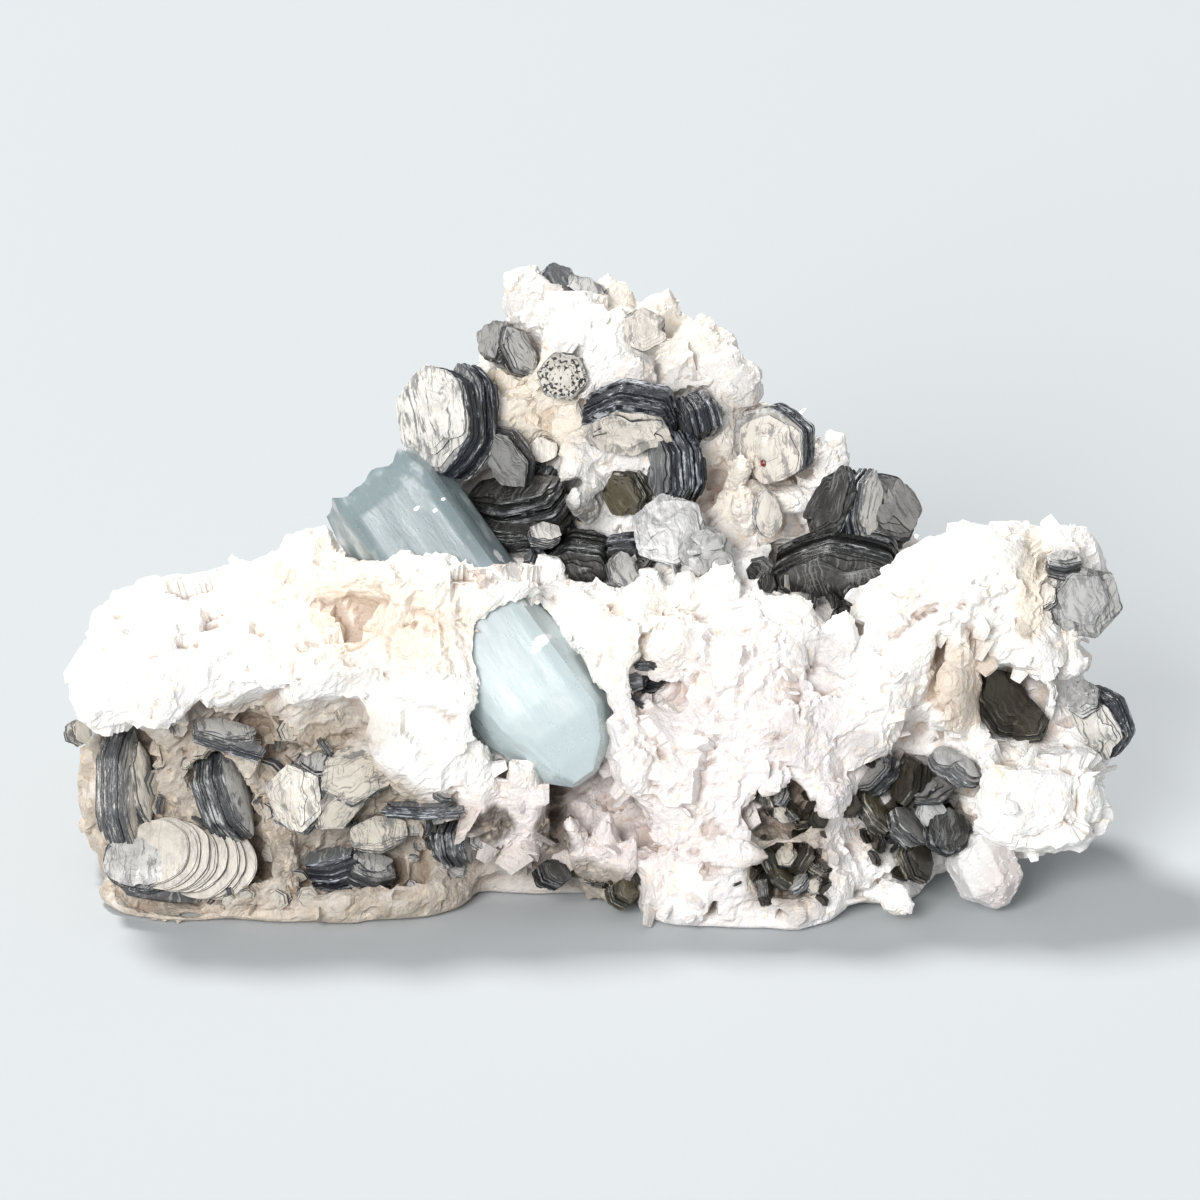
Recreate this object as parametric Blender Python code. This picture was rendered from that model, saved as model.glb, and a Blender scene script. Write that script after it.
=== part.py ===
"""Aquamarine crystal on a matrix of white albite with muscovite mica: a hand-sized mineral specimen.

The specimen stands on a flat cut. Its display face leans back, so most places are given on that face, in
millimetres: across (to the right), up (along the leaning face) and out (square to it, towards the front).
"""

import math
import random

import bmesh
import bpy
from mathutils import Matrix, Vector, noise
from mathutils.bvhtree import BVHTree

MM = 0.001
FACE_LEAN = math.radians(25)        # how far the display face leans back from upright
BASE_MIDDLE = (-0.06, 38.37)        # across and back, from the front of the foot: the origin of the part
CRYSTAL_GAP = 0.3                   # clearance between a crystal and what it grows in

GRID = 1.5                          # grid that joins the matrix's lumps into one skin
MATRIX_FACES = 2560                 # triangles kept on the matrix before its crystals and pockets
ROCK_BROAD = (14.0, 1.3)            # size and height of the rock's broad swells
ROCK_CHUNKS = (9.0, 1.8)            # size and height of its angular chunks
ROCK_GRAIN = (4.0, 0.7)             # size and height of its small roughness
SHEET_INSET = 0.45                  # most that a mica sheet is set back from the widest one
BASE_CUT = (0.4, 0.4, 0.1)          # block below the base that cuts the foot flat, in metres

# Name: (across, up, out), half sizes (across, up, out), turn in degrees (clockwise), squareness.
# These lumps lie in the leaning face.
LEANING_LUMPS = {
    "curtain beside the aquamarine": ((-28.5, 43, -7), (11.5, 20, 16), 8, 3.5),
    "curtain foot": ((-22.5, 29, -5), (6, 8, 11), 0, 2.5),
    "crust over the aquamarine": ((-26.5, 58.2, 0), (16.5, 5.2, 9.5), 7, 3.0),
    "bridge over the aquamarine": ((-14.5, 59, 2), (7, 2.8, 7.5), 10, 2.5),
    "crust corner": ((-38, 59, -9), (15, 5, 12), 0, 3.0),
    "lip right of the crystal": ((4.5, 45, -1), (4, 12, 8), 12, 2.5),
    "lip foot": ((6, 30, 0), (5, 8, 8), 0, 2.5),
    "lower centre": ((24, 14, -9), (18, 14, 12), 0, 3.5),
    "centre left": ((13, 29, -6), (8.5, 14, 11), 0, 3.0),
    "mid centre": ((27, 32, -7), (18, 16, 13), 0, 3.5),
    "upper centre": ((25, 47, -6), (12, 10, 12), -15, 3.0),
    "centre crest": ((31, 52, -3), (10, 3.5, 8), 28, 2.5),
    "lower right of centre": ((43, 12, -15), (12, 8, 10), 0, 3.0),
    "behind the lower right books": ((54, 23, -14), (10, 12, 11), 0, 3.0),
    "right neck": ((46, 40, -8), (8, 14, 14), 12, 3.0),
    "right shoulder": ((55, 53, -9), (13, 11, 14), -8, 3.5),
    "right block": ((65, 55, -11), (11, 14, 14), 0, 4.0),
    "right top knob": ((76, 63, -11), (8.5, 6, 9), -5, 2.5),
    "right outer knob": ((79, 56, -12), (6, 7, 9), 0, 2.5),
    "right waist": ((71, 42, -11), (8.5, 9, 11), 0, 2.5),
    "right rim backing": ((82, 34, -14), (5, 7, 8), 0, 2.5),
    "right foot": ((73, 23, -9), (11.5, 10, 13), 0, 3.5),
    "right foot corner": ((80, 19.5, -9), (5.5, 5, 10), 20, 2.5),
    "peak": ((-2, 95, -20), (13, 12, 12), 0, 2.5),
    "peak left shoulder": ((-15, 90, -20), (6.5, 17, 11), 16, 2.5),
    "peak white boss": ((-2.5, 96, -13), (7, 10, 8), 12, 3.0),
    "big lobe": ((15, 91, -18), (8.5, 9, 9), -38, 2.5),
    "big lobe foot": ((17, 84, -19), (8.5, 9, 10), 0, 2.5),
    "behind the middle books": ((3, 80, -23.5), (18, 16, 14), 0, 3.0),
    "valley floor": ((-2, 63, -28), (22, 14, 14), 0, 3.0),
    "right wall of the valley": ((23, 76, -20), (4, 11, 10), 0, 2.5),
    "ledge under the round book": ((33, 71, -18), (8, 5, 9), 0, 2.5),
    "behind the round book": ((29, 81, -21), (7, 8, 9), 0, 2.5),
    "behind the silver plate": ((13, 65.5, -15), (8, 8, 10.5), 0, 2.5),
    "behind the right books": ((43, 68, -21.5), (9, 10, 9), 20, 3.0),
    "behind the big book": ((-24, 83, -17.5), (7, 11, 10), 15, 2.5),
}

# Name: (across, back, height), half sizes, turn about the upright, squareness. These stand upright.
UPRIGHT_BLOCKS = {
    "left arm": ((-49, 36, 17), (38, 25, 22), 0, 5.0),
    "left crust": ((-49.5, 34, 41), (36, 22, 6.0), 15, 3.5),
    "left crust front": ((-60, 20, 42), (28, 14, 5.0), 0, 3.5),
    "left crust lip": ((-77.0, 17, 38), (12, 12, 5.0), 0, 3.0),
    "left foot ledge": ((-52, 17, 3), (33, 14, 6), 0, 3.0),
    "middle foot": ((-8, 28, 8), (26, 16, 11), 0, 3.0),
    "front foot": ((24, 18, 4), (17.5, 17.5, 8), 0, 4.0),
    "body": ((5, 46, 28), (56, 26, 30), 0, 3.0),
    "body under the peak": ((0, 60, 58), (26, 17, 26), 0, 2.5),
    "right arm root": ((60, 36, 32), (20, 18, 20), 0, 3.0),
}

# Hollows in the leaning face: (across, up, out), half sizes.
HOLLOWS = {
    "right pocket": ((68, 38.5, -2), (6.5, 6, 6)),
    "stepped recess": ((59.5, 44, 2), (4.5, 8, 6)),
    "centre pocket": ((30.5, 21, 4), (5, 4.5, 7)),
    "lower pocket": ((31.5, 10.5, 3), (7, 4.5, 7)),
    "pocket below the blocks": ((8.2, 42.5, 3), (3, 3.6, 7)),
    "left hole": ((-17.5, 17.5, -6), (3, 3, 7)),
    "middle hole": ((-6.5, 20, -6), (2.5, 2, 7)),
}

# White albite blades and blocks that stand out of the matrix: root, tip, width, thickness, share of both
# that is left at the tip.
BLADES = {
    "wedge in the valley": ((0, 84, -11), (-6.5, 76.5, -7), 6, 4, 0.3),
    "bar under the round book": ((40, 73, -12), (28.5, 72.2, -7), 4.6, 4.5, 0.8),
    "first petal": ((34, 74, -22), (35.8, 82.5, -16), 4, 4, 0.7),
    "second petal": ((38.5, 73, -18), (39.5, 83.5, -13), 6, 3.5, 0.6),
    "blade right of the aquamarine": ((1.5, 43, 2), (-4.5, 59, 2), 6.5, 4, 0.15),
    "point above the aquamarine": ((-7, 57, -5), (-10.2, 63.6, -3.5), 6, 5, 0.3),
    "white block": ((8, 50.5, -5), (6.5, 59.3, -1), 9.5, 8, 0.85),
    "left cream block": ((4.5, 43.5, -2), (4, 51.5, 3), 6.5, 7, 0.8),
    "right cream block": ((11.5, 43.5, -1), (11.2, 51.8, 4), 8.5, 8, 0.8),
    "spike": ((17, 14.5, 2), (27.7, 13.2, 6), 5, 4.5, 0.15),
    "block by the fan": ((-52, 8, -6), (-52.8, 15.6, -2), 5, 6, 0.8),
    "left pink blade": ((-19.5, 15, -6), (-21, 32, 5), 7, 6, 0.5),
    "right pink blade": ((-11.5, 13, -9), (-12.8, 28, 4), 7.5, 6, 0.6),
    "first foot blade": ((-1, 7, -12), (-5.2, 18.5, 0), 4, 5, 0.5),
    "second foot blade": ((0.5, 7, -10), (1, 19.5, 1), 4.2, 5, 0.5),
    "third foot blade": ((2, 6, -10), (5.6, 15.5, 0), 4, 5, 0.4),
    "top left blade": ((-7, 98, -18), (-13.5, 110.8, -16), 8, 7, 0.55),
    "tan petal": ((5.5, 99, -20), (0.5, 109.6, -18), 6.5, 4, 0.6),
    "top right petal": ((11.5, 96, -20), (10, 107.2, -18), 6.5, 5, 0.7),
    "lobe tip": ((13, 92, -20), (17.5, 101.5, -17), 8, 6, 0.7),
    "lower step": ((62, 38, -6), (57, 37.5, 3), 4, 4, 0.8),
    "middle step": ((62.5, 42, -6), (58, 42.5, 4), 4.5, 4, 0.8),
    "upper step": ((63, 46.5, -6), (59, 47.5, 4), 4, 4, 0.8),
    "grey prism": ((32, 29, 1), (31.5, 38.8, 8), 4, 4, 0.8),
}

# The aquamarine: a six-sided prism, thick as its flats, that ends broken above and rounded below.
AQUA_FOOT = (-2.1, 26.4, 0.5)
AQUA_HEAD = (-38.6, 77.2, -8.0)
AQUA_WIDTH = 21.8
AQUA_DEPTH = 17.0
# Corners of its section, as shares of half the width and half the depth: the front face is the broad one.
AQUA_CORNERS = ((1.0, -0.1), (0.7, 0.95), (-0.66, 1.0), (-1.0, 0.0), (-0.5, -1.0), (0.5, -1.0))
# How far along, share of the full width, share of the full depth, and shift to the side in millimetres.
AQUA_SECTIONS = (
    (0.0, 0.25, 0.35, -0.4),
    (0.05, 0.62, 0.65, 0.5),
    (0.13, 0.86, 0.9, 1.4),
    (0.22, 0.97, 1.0, 0.3),
    (0.5, 1.0, 1.0, 0.0),
    (0.9, 1.0, 0.95, 0.0),
    (1.0, 0.8, 0.7, -1.0),
)

# Mica books. Each: centre (across, up, out), facing (across, up, out) of its flat side, turn in degrees,
# size (wide, long, thick), sheets that show.
MICA_BOOKS = {
    "mica_big_left": [((-26.0, 85.5, -7.0), (-0.6, 0.15, 0.8), 16, (15, 21, 9), 5)],
    "mica_centre": [((5.0, 86.5, -6.5), (-0.15, -0.55, 0.8), 8, (15.5, 13, 8), 5)],
    "mica_round_right": [((29.0, 82.0, -10.0), (-0.45, -0.2, 0.87), -8, (13.5, 14.5, 6.5), 4)],
    "mica_right_cluster": [
        ((40.5, 71.3, -8.0), (-0.75, 0.2, 0.6), -20, (9, 15, 8), 4),
        ((46.4, 70.6, -13.0), (0.35, -0.2, 0.9), 24, (12, 14.5, 8), 4),
        ((39.6, 60.0, -7.5), (-0.1, -0.75, 0.65), 5, (21, 16, 9), 3),
    ],
    "mica_upright_dark": [
        ((13.2, 78.0, -6.5), (0.9, 0.12, -0.4), 5, (9, 13.5, 7.5), 4),
        ((15.8, 86.5, -9.5), (0.9, 0.3, -0.3), 12, (8, 9, 7), 3),
    ],
    "mica_grey_top_left": [((-15.2, 98.0, -11.0), (0.55, 0.3, 0.78), 38, (8, 10.5, 5), 4)],
    "mica_speckled": [((-6.3, 93.2, -6.5), (0.15, -0.1, 1.0), 20, (8.2, 9.2, 3.5), 3)],
    "mica_top": [((-5.6, 108.3, -18.0), (0.3, 0.75, 0.4), 0, (9, 7, 6), 4)],
    "mica_cream_top": [((7.0, 100.8, -10.5), (0.1, 0.0, 1.0), 0, (7, 7.2, 3), 2)],
    "mica_slanted": [((-15.3, 79.8, -7.5), (-0.45, -0.3, 0.84), 35, (7, 12.5, 4.5), 3)],
    "mica_valley_left": [
        ((-13.5, 72.0, -11.5), (-0.35, 0.8, 0.5), 0, (18, 12, 8), 4),
        ((-14.0, 67.0, -9.5), (-0.1, 0.9, 0.4), 0, (13, 9, 4.5), 2),
    ],
    "mica_black_stack": [((-3.6, 62.5, -8.0), (-0.2, -0.6, 0.75), 10, (11.5, 9, 8), 5)],
    "mica_dark_bar": [((4.8, 65.0, -7.0), (0.1, -0.9, 0.4), 0, (8.5, 5, 3.2), 2)],
    "mica_small_grey_hexagon": [((3.6, 60.6, -3.0), (0.3, 0.15, 0.9), 12, (5.5, 7, 4), 3)],
    "mica_small_light_hexagon": [((-9.4, 66.4, -5.0), (0.2, 0.6, 0.75), 4, (5.6, 4.5, 3), 2)],
    "mica_olive": [((4.7, 74.0, -10.0), (-0.2, -0.7, 0.65), -15, (8, 7, 4.5), 3)],
    "mica_silver_plate": [((11.6, 67.5, -4.0), (-0.1, 0.15, 1.0), 12, (12.5, 13.5, 4), 3)],
    "mica_silver_rosette": [((17.5, 63.8, -2.5), (0.15, 0.1, 1.0), -20, (9.5, 10, 4), 3)],
    "mica_cream_disc": [((27.8, 70.3, -4.6), (0.35, 0.0, 0.93), 0, (5, 9, 2.6), 1)],
    "mica_beige_disc": [((-9.7, 80.9, -11.5), (0.0, 0.1, 1.0), 0, (5.4, 5.0, 2.2), 1)],
    "mica_right_plate": [((80.8, 55.8, -3.0), (0.25, -0.15, 0.95), 20, (12, 13, 3.5), 3)],
    "mica_right_small": [((77.3, 61.8, -2.0), (0.1, 0.75, 0.6), 0, (6, 4.5, 4), 2)],
    "mica_right_tiny": [((74.6, 56.3, -1.0), (-0.3, 0.3, 0.9), 0, (3.6, 4.8, 2.6), 2)],
    "mica_right_rim": [
        ((84.6, 35.3, -6.5), (0.75, -0.1, 0.6), 12, (10, 14, 5), 3),
        ((80.7, 39.3, -3.5), (-0.2, 0.2, 0.95), 0, (6, 7.2, 4), 2),
    ],
    "mica_in_right_pocket": [((68.3, 38.2, -6.6), (0.15, 0.05, 1.0), 10, (11, 9.5, 3.5), 2)],
    "mica_left_fan": [
        ((-68.5, 11.0, -4.5), (0.12, 0.2, 0.97), 8, (27, 15, 7), 3),
        ((-79.5, 24.5, -4.0), (0.9, 0.0, 0.4), 0, (7.5, 21, 7), 3),
        ((-62.5, 23.0, -3.0), (0.85, 0.25, 0.45), 12, (8, 17, 6.5), 3),
    ],
    "mica_left_wedge": [((-61.3, 33.0, 3.0), (0.2, 0.4, 0.9), 0, (12, 7, 4), 2)],
    "mica_left_edge": [((-87.0, 33.7, 2.0), (0.6, 0.3, 0.7), 0, (4.5, 5, 3), 2)],
    "mica_pale_slab": [((-45.0, 24.2, 0.5), (0.1, 0.2, 0.97), -22, (24, 12.5, 5), 2)],
    "mica_beige_block": [((-37.0, 16.6, -2.8), (0.1, 0.3, 0.95), 10, (10, 6.5, 4), 1)],
    "mica_grey_base": [((-41.5, 10.8, -4.0), (0.1, 0.8, 0.6), 5, (16, 7, 7), 4)],
    "mica_thin_plates": [((-29.5, 21.0, -0.5), (-0.1, 0.95, 0.3), 0, (15, 5, 2.2), 3)],
    "mica_small_stack": [((-24.6, 15.0, -4.5), (0.9, 0.15, 0.4), 0, (6, 8.5, 6), 3)],
    "mica_foot_left": [((-8.0, 10.0, -4.6), (0.5, 0.5, 0.7), 0, (6, 6, 4), 2)],
    "mica_foot_right": [((3.8, 6.8, -5.2), (0.6, 0.4, 0.7), 0, (5.5, 5.5, 4), 2)],
    "mica_lower_right_cluster": [
        ((53.5, 24.0, -2.0), (-0.5, 0.3, 0.8), 15, (9, 11, 5), 3),
        ((57.5, 17.5, -2.5), (0.4, 0.2, 0.9), 0, (8, 10, 4.5), 3),
        ((49.5, 18.5, -3.0), (0.2, 0.7, 0.7), 0, (8, 7, 5), 3),
        ((60.5, 26.0, -1.5), (0.6, 0.6, 0.5), 25, (6, 9, 4), 3),
    ],
    "mica_centre_pocket": [((30.4, 20.7, 0.0), (0.3, 0.3, 0.9), 10, (8.5, 8, 4), 2)],
    "mica_lower_pocket": [((32.5, 11.5, 0.0), (-0.3, 0.4, 0.85), 0, (12, 7, 4), 3)],
}

# The small smoky quartz crystal that hangs below the right arm: centre, half sizes, turn in degrees.
QUARTZ = ((64.4, 10.6, -6.0), (6.0, 6.6, 5.2), 25)
QUARTZ_UP = (-0.45, 1.0, 0.15)      # the way its buried end points, on the leaning face


# ---- places and helpers ------------------------------------------------------------------------------

def upright(across, back, height):
    """Point of a place given in millimetres across, back from the foot's front, and above the base."""
    return Vector((across, back, height)) * MM


def on_face(across, up, out):
    """Point of a place given in millimetres on the leaning face."""
    back = up * math.sin(FACE_LEAN) - out * math.cos(FACE_LEAN)
    height = up * math.cos(FACE_LEAN) + out * math.sin(FACE_LEAN)
    return upright(across, back, height)


def face_direction(across, up, out):
    """Upright direction of a direction given on the leaning face."""
    return (on_face(across, up, out) - on_face(0, 0, 0)).normalized()


def clear_scene():
    for old in list(bpy.data.objects):
        bpy.data.objects.remove(old, do_unlink=True)


def principled(name, colour, roughness, metallic=0.0, transmission=0.0):
    made = bpy.data.materials.new(name)
    made.use_nodes = True
    shader = made.node_tree.nodes["Principled BSDF"]
    shader.inputs["Base Color"].default_value = (*colour, 1.0)
    shader.inputs["Roughness"].default_value = roughness
    shader.inputs["Metallic"].default_value = metallic
    shader.inputs["Transmission Weight"].default_value = transmission
    made.diffuse_color = (*colour, 1.0)
    return made


def object_from(bm, name, material=None):
    bmesh.ops.recalc_face_normals(bm, faces=bm.faces)
    mesh = bpy.data.meshes.new(name)
    bm.to_mesh(mesh)
    bm.free()
    made = bpy.data.objects.new(name, mesh)
    bpy.context.scene.collection.objects.link(made)
    if material:
        mesh.materials.append(material)
    return made


def bake_modifiers(target):
    """Turn the object's modifiers into plain mesh."""
    graph = bpy.context.evaluated_depsgraph_get()
    graph.update()
    baked = bpy.data.meshes.new_from_object(target.evaluated_get(graph))
    target.modifiers.clear()
    target.data = baked


def rebuild_on_grid(target):
    """Make one clean skin round everything in the object."""
    skin = target.modifiers.new("Skin", "REMESH")
    skin.mode = "VOXEL"
    skin.voxel_size = GRID * MM
    bake_modifiers(target)


def combine(target, other, operation):
    cut = target.modifiers.new(operation.title(), "BOOLEAN")
    cut.object = other
    cut.operation = operation
    bake_modifiers(target)


def discard(helper):
    bpy.data.objects.remove(helper, do_unlink=True)


def keep_largest_body(target):
    """Drop the chips that a cut has parted from the main body."""
    bm = bmesh.new()
    bm.from_mesh(target.data)
    left = set(bm.verts)
    bodies = []
    while left:
        body, edge_of_body = set(), [left.pop()]
        while edge_of_body:
            vert = edge_of_body.pop()
            body.add(vert)
            for edge in vert.link_edges:
                other = edge.other_vert(vert)
                if other in left:
                    left.discard(other)
                    edge_of_body.append(other)
        bodies.append(body)
    largest = max(bodies, key=len)
    bmesh.ops.delete(bm, geom=[v for v in bm.verts if v not in largest], context="VERTS")
    bm.to_mesh(target.data)
    bm.free()


# ---- matrix --------------------------------------------------------------------------------------------

def add_lump(bm, centre, half, turn, squareness):
    """A rounded block: an icosphere pushed out towards a box, the more so the higher its squareness."""
    made = bmesh.ops.create_icosphere(bm, subdivisions=3, radius=1.0)
    for vert in made["verts"]:
        x, y, z = (abs(c) ** squareness for c in vert.co)
        reach = (x + y + z) ** (-1 / squareness)
        local = Vector(c * reach * h * MM for c, h in zip(vert.co, half))
        vert.co = centre + turn @ local


def rock_height(place):
    """How far, in millimetres, the rock stands out at a place given in millimetres."""
    size, height = ROCK_BROAD
    broad = height * noise.noise(place / size)
    size, height = ROCK_CHUNKS
    chunks = height * (0.45 - noise.voronoi(place / size)[0][0])
    size, height = ROCK_GRAIN
    return broad + chunks + height * noise.noise(place / size + Vector((31, 7, 2)))


def make_matrix(material):
    bm = bmesh.new()
    leaning = Matrix.Rotation(-FACE_LEAN, 3, "X")
    for centre, half, turn, squareness in LEANING_LUMPS.values():
        across, up, out = half
        spin = leaning @ Matrix.Rotation(math.radians(turn), 3, "Y")
        add_lump(bm, on_face(*centre), (across, out, up), spin, squareness)
    for centre, half, turn, squareness in UPRIGHT_BLOCKS.values():
        add_lump(bm, upright(*centre), half, Matrix.Rotation(math.radians(turn), 3, "Z"), squareness)
    matrix = object_from(bm, "albite_matrix", material)

    rebuild_on_grid(matrix)
    for centre, (across, up, out) in HOLLOWS.values():
        hollow = bmesh.new()
        add_lump(hollow, on_face(*centre), (across, out, up), leaning, 2.0)
        cutter = object_from(hollow, "cut_hollow")
        combine(matrix, cutter, "DIFFERENCE")
        discard(cutter)
    keep_largest_body(matrix)
    mesh = matrix.data
    moved = [v.co + v.normal * (rock_height(v.co / MM) * MM) for v in mesh.vertices]
    for vert, place in zip(mesh.vertices, moved):
        vert.co = place
    rebuild_on_grid(matrix)
    thinned = matrix.modifiers.new("Fewer faces", "DECIMATE")
    triangles = 2 * len(matrix.data.polygons)
    thinned.ratio = MATRIX_FACES / triangles
    bake_modifiers(matrix)
    for blade in BLADES.values():
        grown = object_from(loft(blade_rings(*blade)), "albite_blade")
        combine(matrix, grown, "UNION")
        discard(grown)
    return matrix


def blade_rings(root, tip, width, thickness, tip_share):
    """Rings of a flat albite crystal: five-sided, widest a third of the way up, and narrower at its tip."""
    start, end = on_face(*root), on_face(*tip)
    axis = (end - start).normalized()
    side = axis.cross(face_direction(0, 0, 1)).normalized()
    front = side.cross(axis)
    rings = []
    for share, size in ((0.0, 0.85), (0.65, 1.0), (1.0, tip_share)):
        ring = []
        for x, y in ((-0.5, -0.5), (0.5, -0.5), (0.5, 0.25), (0.1, 0.5), (-0.5, 0.3)):
            corner = side * (x * width * size) + front * (y * thickness * size)
            ring.append(start + (end - start) * share + corner * MM)
        rings.append(ring)
    return rings


def base_cutter():
    """A block whose top is the flat cut that the specimen stands on."""
    bm = bmesh.new()
    bmesh.ops.create_cube(bm, size=1.0)
    bmesh.ops.scale(bm, verts=bm.verts, vec=BASE_CUT)
    bmesh.ops.translate(bm, verts=bm.verts, vec=(0, 0, -BASE_CUT[2] / 2))
    return object_from(bm, "base_cutter")


# ---- crystals ------------------------------------------------------------------------------------------

def axes_of(facing, turn):
    """Rotation whose Z is the crystal's facing and whose Y is as near to the face's up as it can be."""
    normal = face_direction(*facing)
    side = face_direction(0, 1, 0).cross(normal).normalized()
    along = normal.cross(side)
    frame = Matrix((side, along, normal)).transposed()
    return frame @ Matrix.Rotation(math.radians(turn), 3, "Z")


def hexagon(wide, long):
    """Corners of a six-sided sheet with its points up and down."""
    corners = []
    for k in range(6):
        angle = math.radians(60 * k + 30)
        corners.append(Vector((math.cos(angle) * wide / math.sqrt(3), math.sin(angle) * long / 2, 0)))
    return corners


def loft(rings):
    """A closed body through rings of corners, capped at both ends."""
    bm = bmesh.new()
    rows = [[bm.verts.new(place) for place in ring] for ring in rings]
    for low, high in zip(rows, rows[1:]):
        for k in range(len(low)):
            m = (k + 1) % len(low)
            bm.faces.new((low[k], low[m], high[m], high[k]))
    bm.faces.new(list(reversed(rows[0])))
    bm.faces.new(rows[-1])
    return bm


def sheet_levels(thick, sheets, chance):
    """Heights and insets of a stack's rings: two for each sheet, with a small groove between the sheets."""
    levels = []
    groove = 0.12 * thick / sheets
    for k in range(sheets):
        low = -thick / 2 + thick * k / sheets + groove
        high = -thick / 2 + thick * (k + 1) / sheets - groove
        inset = -SHEET_INSET * chance.random()
        levels += [(low, inset), (high, inset * 0.6)]
    levels[0] = (-thick / 2, levels[0][1])
    levels[-1] = (thick / 2, levels[-1][1])
    return levels


def book_rings(book, chance=None):
    """Rings of a stack of sheets. With no chance given, they are the plain prism of its pocket."""
    centre, facing, turn, (wide, long, thick), sheets = book
    frame = axes_of(facing, turn)
    start = on_face(*centre)
    if chance:
        levels = sheet_levels(thick, sheets, chance)
    else:
        half = thick / 2 + CRYSTAL_GAP
        levels = [(-half, CRYSTAL_GAP), (half, CRYSTAL_GAP)]
    rings = []
    for level, inset in levels:
        ring = hexagon(wide + 2 * inset, long + 2 * inset)
        rings.append([start + frame @ ((corner + Vector((0, 0, level))) * MM) for corner in ring])
    return rings


def make_books(name, books, material, chance):
    """One node: the stacks of sheets of a crystal, or of a group of crystals grown through each other."""
    made = None
    for book in books:
        stack = object_from(loft(book_rings(book, chance)), name, material)
        if made is None:
            made = stack
            continue
        combine(made, stack, "UNION")
        discard(stack)
    return made


def aqua_rings(grow=0.0):
    """Rings along the aquamarine, from its rounded foot to its broken head."""
    foot, head = Vector(AQUA_FOOT), Vector(AQUA_HEAD)
    axis = (head - foot).normalized()
    side = Vector((0, 0, 1)).cross(axis).normalized() * -1
    front = axis.cross(side) * -1
    length = (head - foot).length
    rings = []
    for share, width, depth, shift in AQUA_SECTIONS:
        along = length * share + (grow if share == 1.0 else -grow if share == 0.0 else 0.0)
        ring = []
        for corner_across, corner_out in AQUA_CORNERS:
            across = corner_across * (AQUA_WIDTH / 2 * width + grow) + shift
            out = corner_out * (AQUA_DEPTH / 2 * depth + grow)
            place = foot + axis * along + side * across + front * out
            ring.append(on_face(*place))
        rings.append(ring)
    return rings


def make_quartz(name, material=None, grow=0.0):
    """A blunt six-sided crystal with a pointed end, hanging point down."""
    centre, half, turn = QUARTZ
    frame = axes_of(QUARTZ_UP, 0) @ Matrix.Rotation(math.radians(turn), 3, "Z")
    rings = []
    for level, share in ((-1.0, 0.25), (-0.45, 0.95), (0.55, 1.0), (1.0, 0.6)):
        ring = hexagon(2 * half[0] * share + 2 * grow, 2 * half[2] * share + 2 * grow)
        height = level * (half[1] + grow)
        rings.append([on_face(*centre) + frame @ ((corner + Vector((0, 0, height))) * MM) for corner in ring])
    return object_from(loft(rings), name, material)


# ---- the specimen ----------------------------------------------------------------------------------------

def surface_tree(target):
    bm = bmesh.new()
    bm.from_mesh(target.data)
    tree = BVHTree.FromBMesh(bm)
    bm.free()
    return tree


def make_room(crystals, cutters):
    """Where two crystals meet, the later one gives way to the earlier, and keeps its clearance."""
    names = list(crystals)
    for i, late in enumerate(names):
        for early in names[:i]:
            tree = surface_tree(crystals[late])
            if any(tree.overlap(surface_tree(cutter)) for cutter in cutters[early]):
                for cutter in cutters[early]:
                    combine(crystals[late], cutter, "DIFFERENCE")
                keep_largest_body(crystals[late])
                print(late, "gives way to", early)


def grow_crystals(beryl, muscovite, quartz):
    """The crystals by name, and the cutters that make each one's pocket."""
    chance = random.Random(7)
    crystals = {"aquamarine_crystal": object_from(loft(aqua_rings()), "aquamarine_crystal", beryl)}
    cutters = {"aquamarine_crystal": [object_from(loft(aqua_rings(CRYSTAL_GAP)), "cut_aquamarine")]}
    for name, books in MICA_BOOKS.items():
        crystals[name] = make_books(name, books, muscovite, chance)
        cutters[name] = [object_from(loft(book_rings(book)), "cut_" + name) for book in books]
    crystals["quartz_crystal"] = make_quartz("quartz_crystal", quartz)
    cutters["quartz_crystal"] = [make_quartz("cut_quartz", grow=CRYSTAL_GAP)]
    make_room(crystals, cutters)
    return crystals, cutters


def set_in_matrix(matrix, cutters):
    """Cut each crystal's pocket and the flat foot, and drop the chips."""
    cutters = [cutter for group in cutters.values() for cutter in group] + [base_cutter()]
    for cutter in cutters:
        combine(matrix, cutter, "DIFFERENCE")
        discard(cutter)
    keep_largest_body(matrix)


def main():
    clear_scene()
    albite = principled("albite", (0.93, 0.91, 0.88), 0.75)
    beryl = principled("aquamarine", (0.66, 0.82, 0.84), 0.12, transmission=0.6)
    muscovite = principled("mica", (0.32, 0.31, 0.30), 0.35, metallic=0.3)
    quartz = principled("quartz", (0.85, 0.78, 0.76), 0.3, transmission=0.3)
    crystals, cutters = grow_crystals(beryl, muscovite, quartz)
    matrix = make_matrix(albite)
    set_in_matrix(matrix, cutters)
    across, back = BASE_MIDDLE
    for piece in [matrix, *crystals.values()]:
        piece.location = Vector((-across, -back, 0)) * MM


main()
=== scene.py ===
# An aquamarine prism on bladed white albite with muscovite mica books, ready to render.
import math

import bmesh
import bpy
from mathutils import Matrix, Vector, noise


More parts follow.
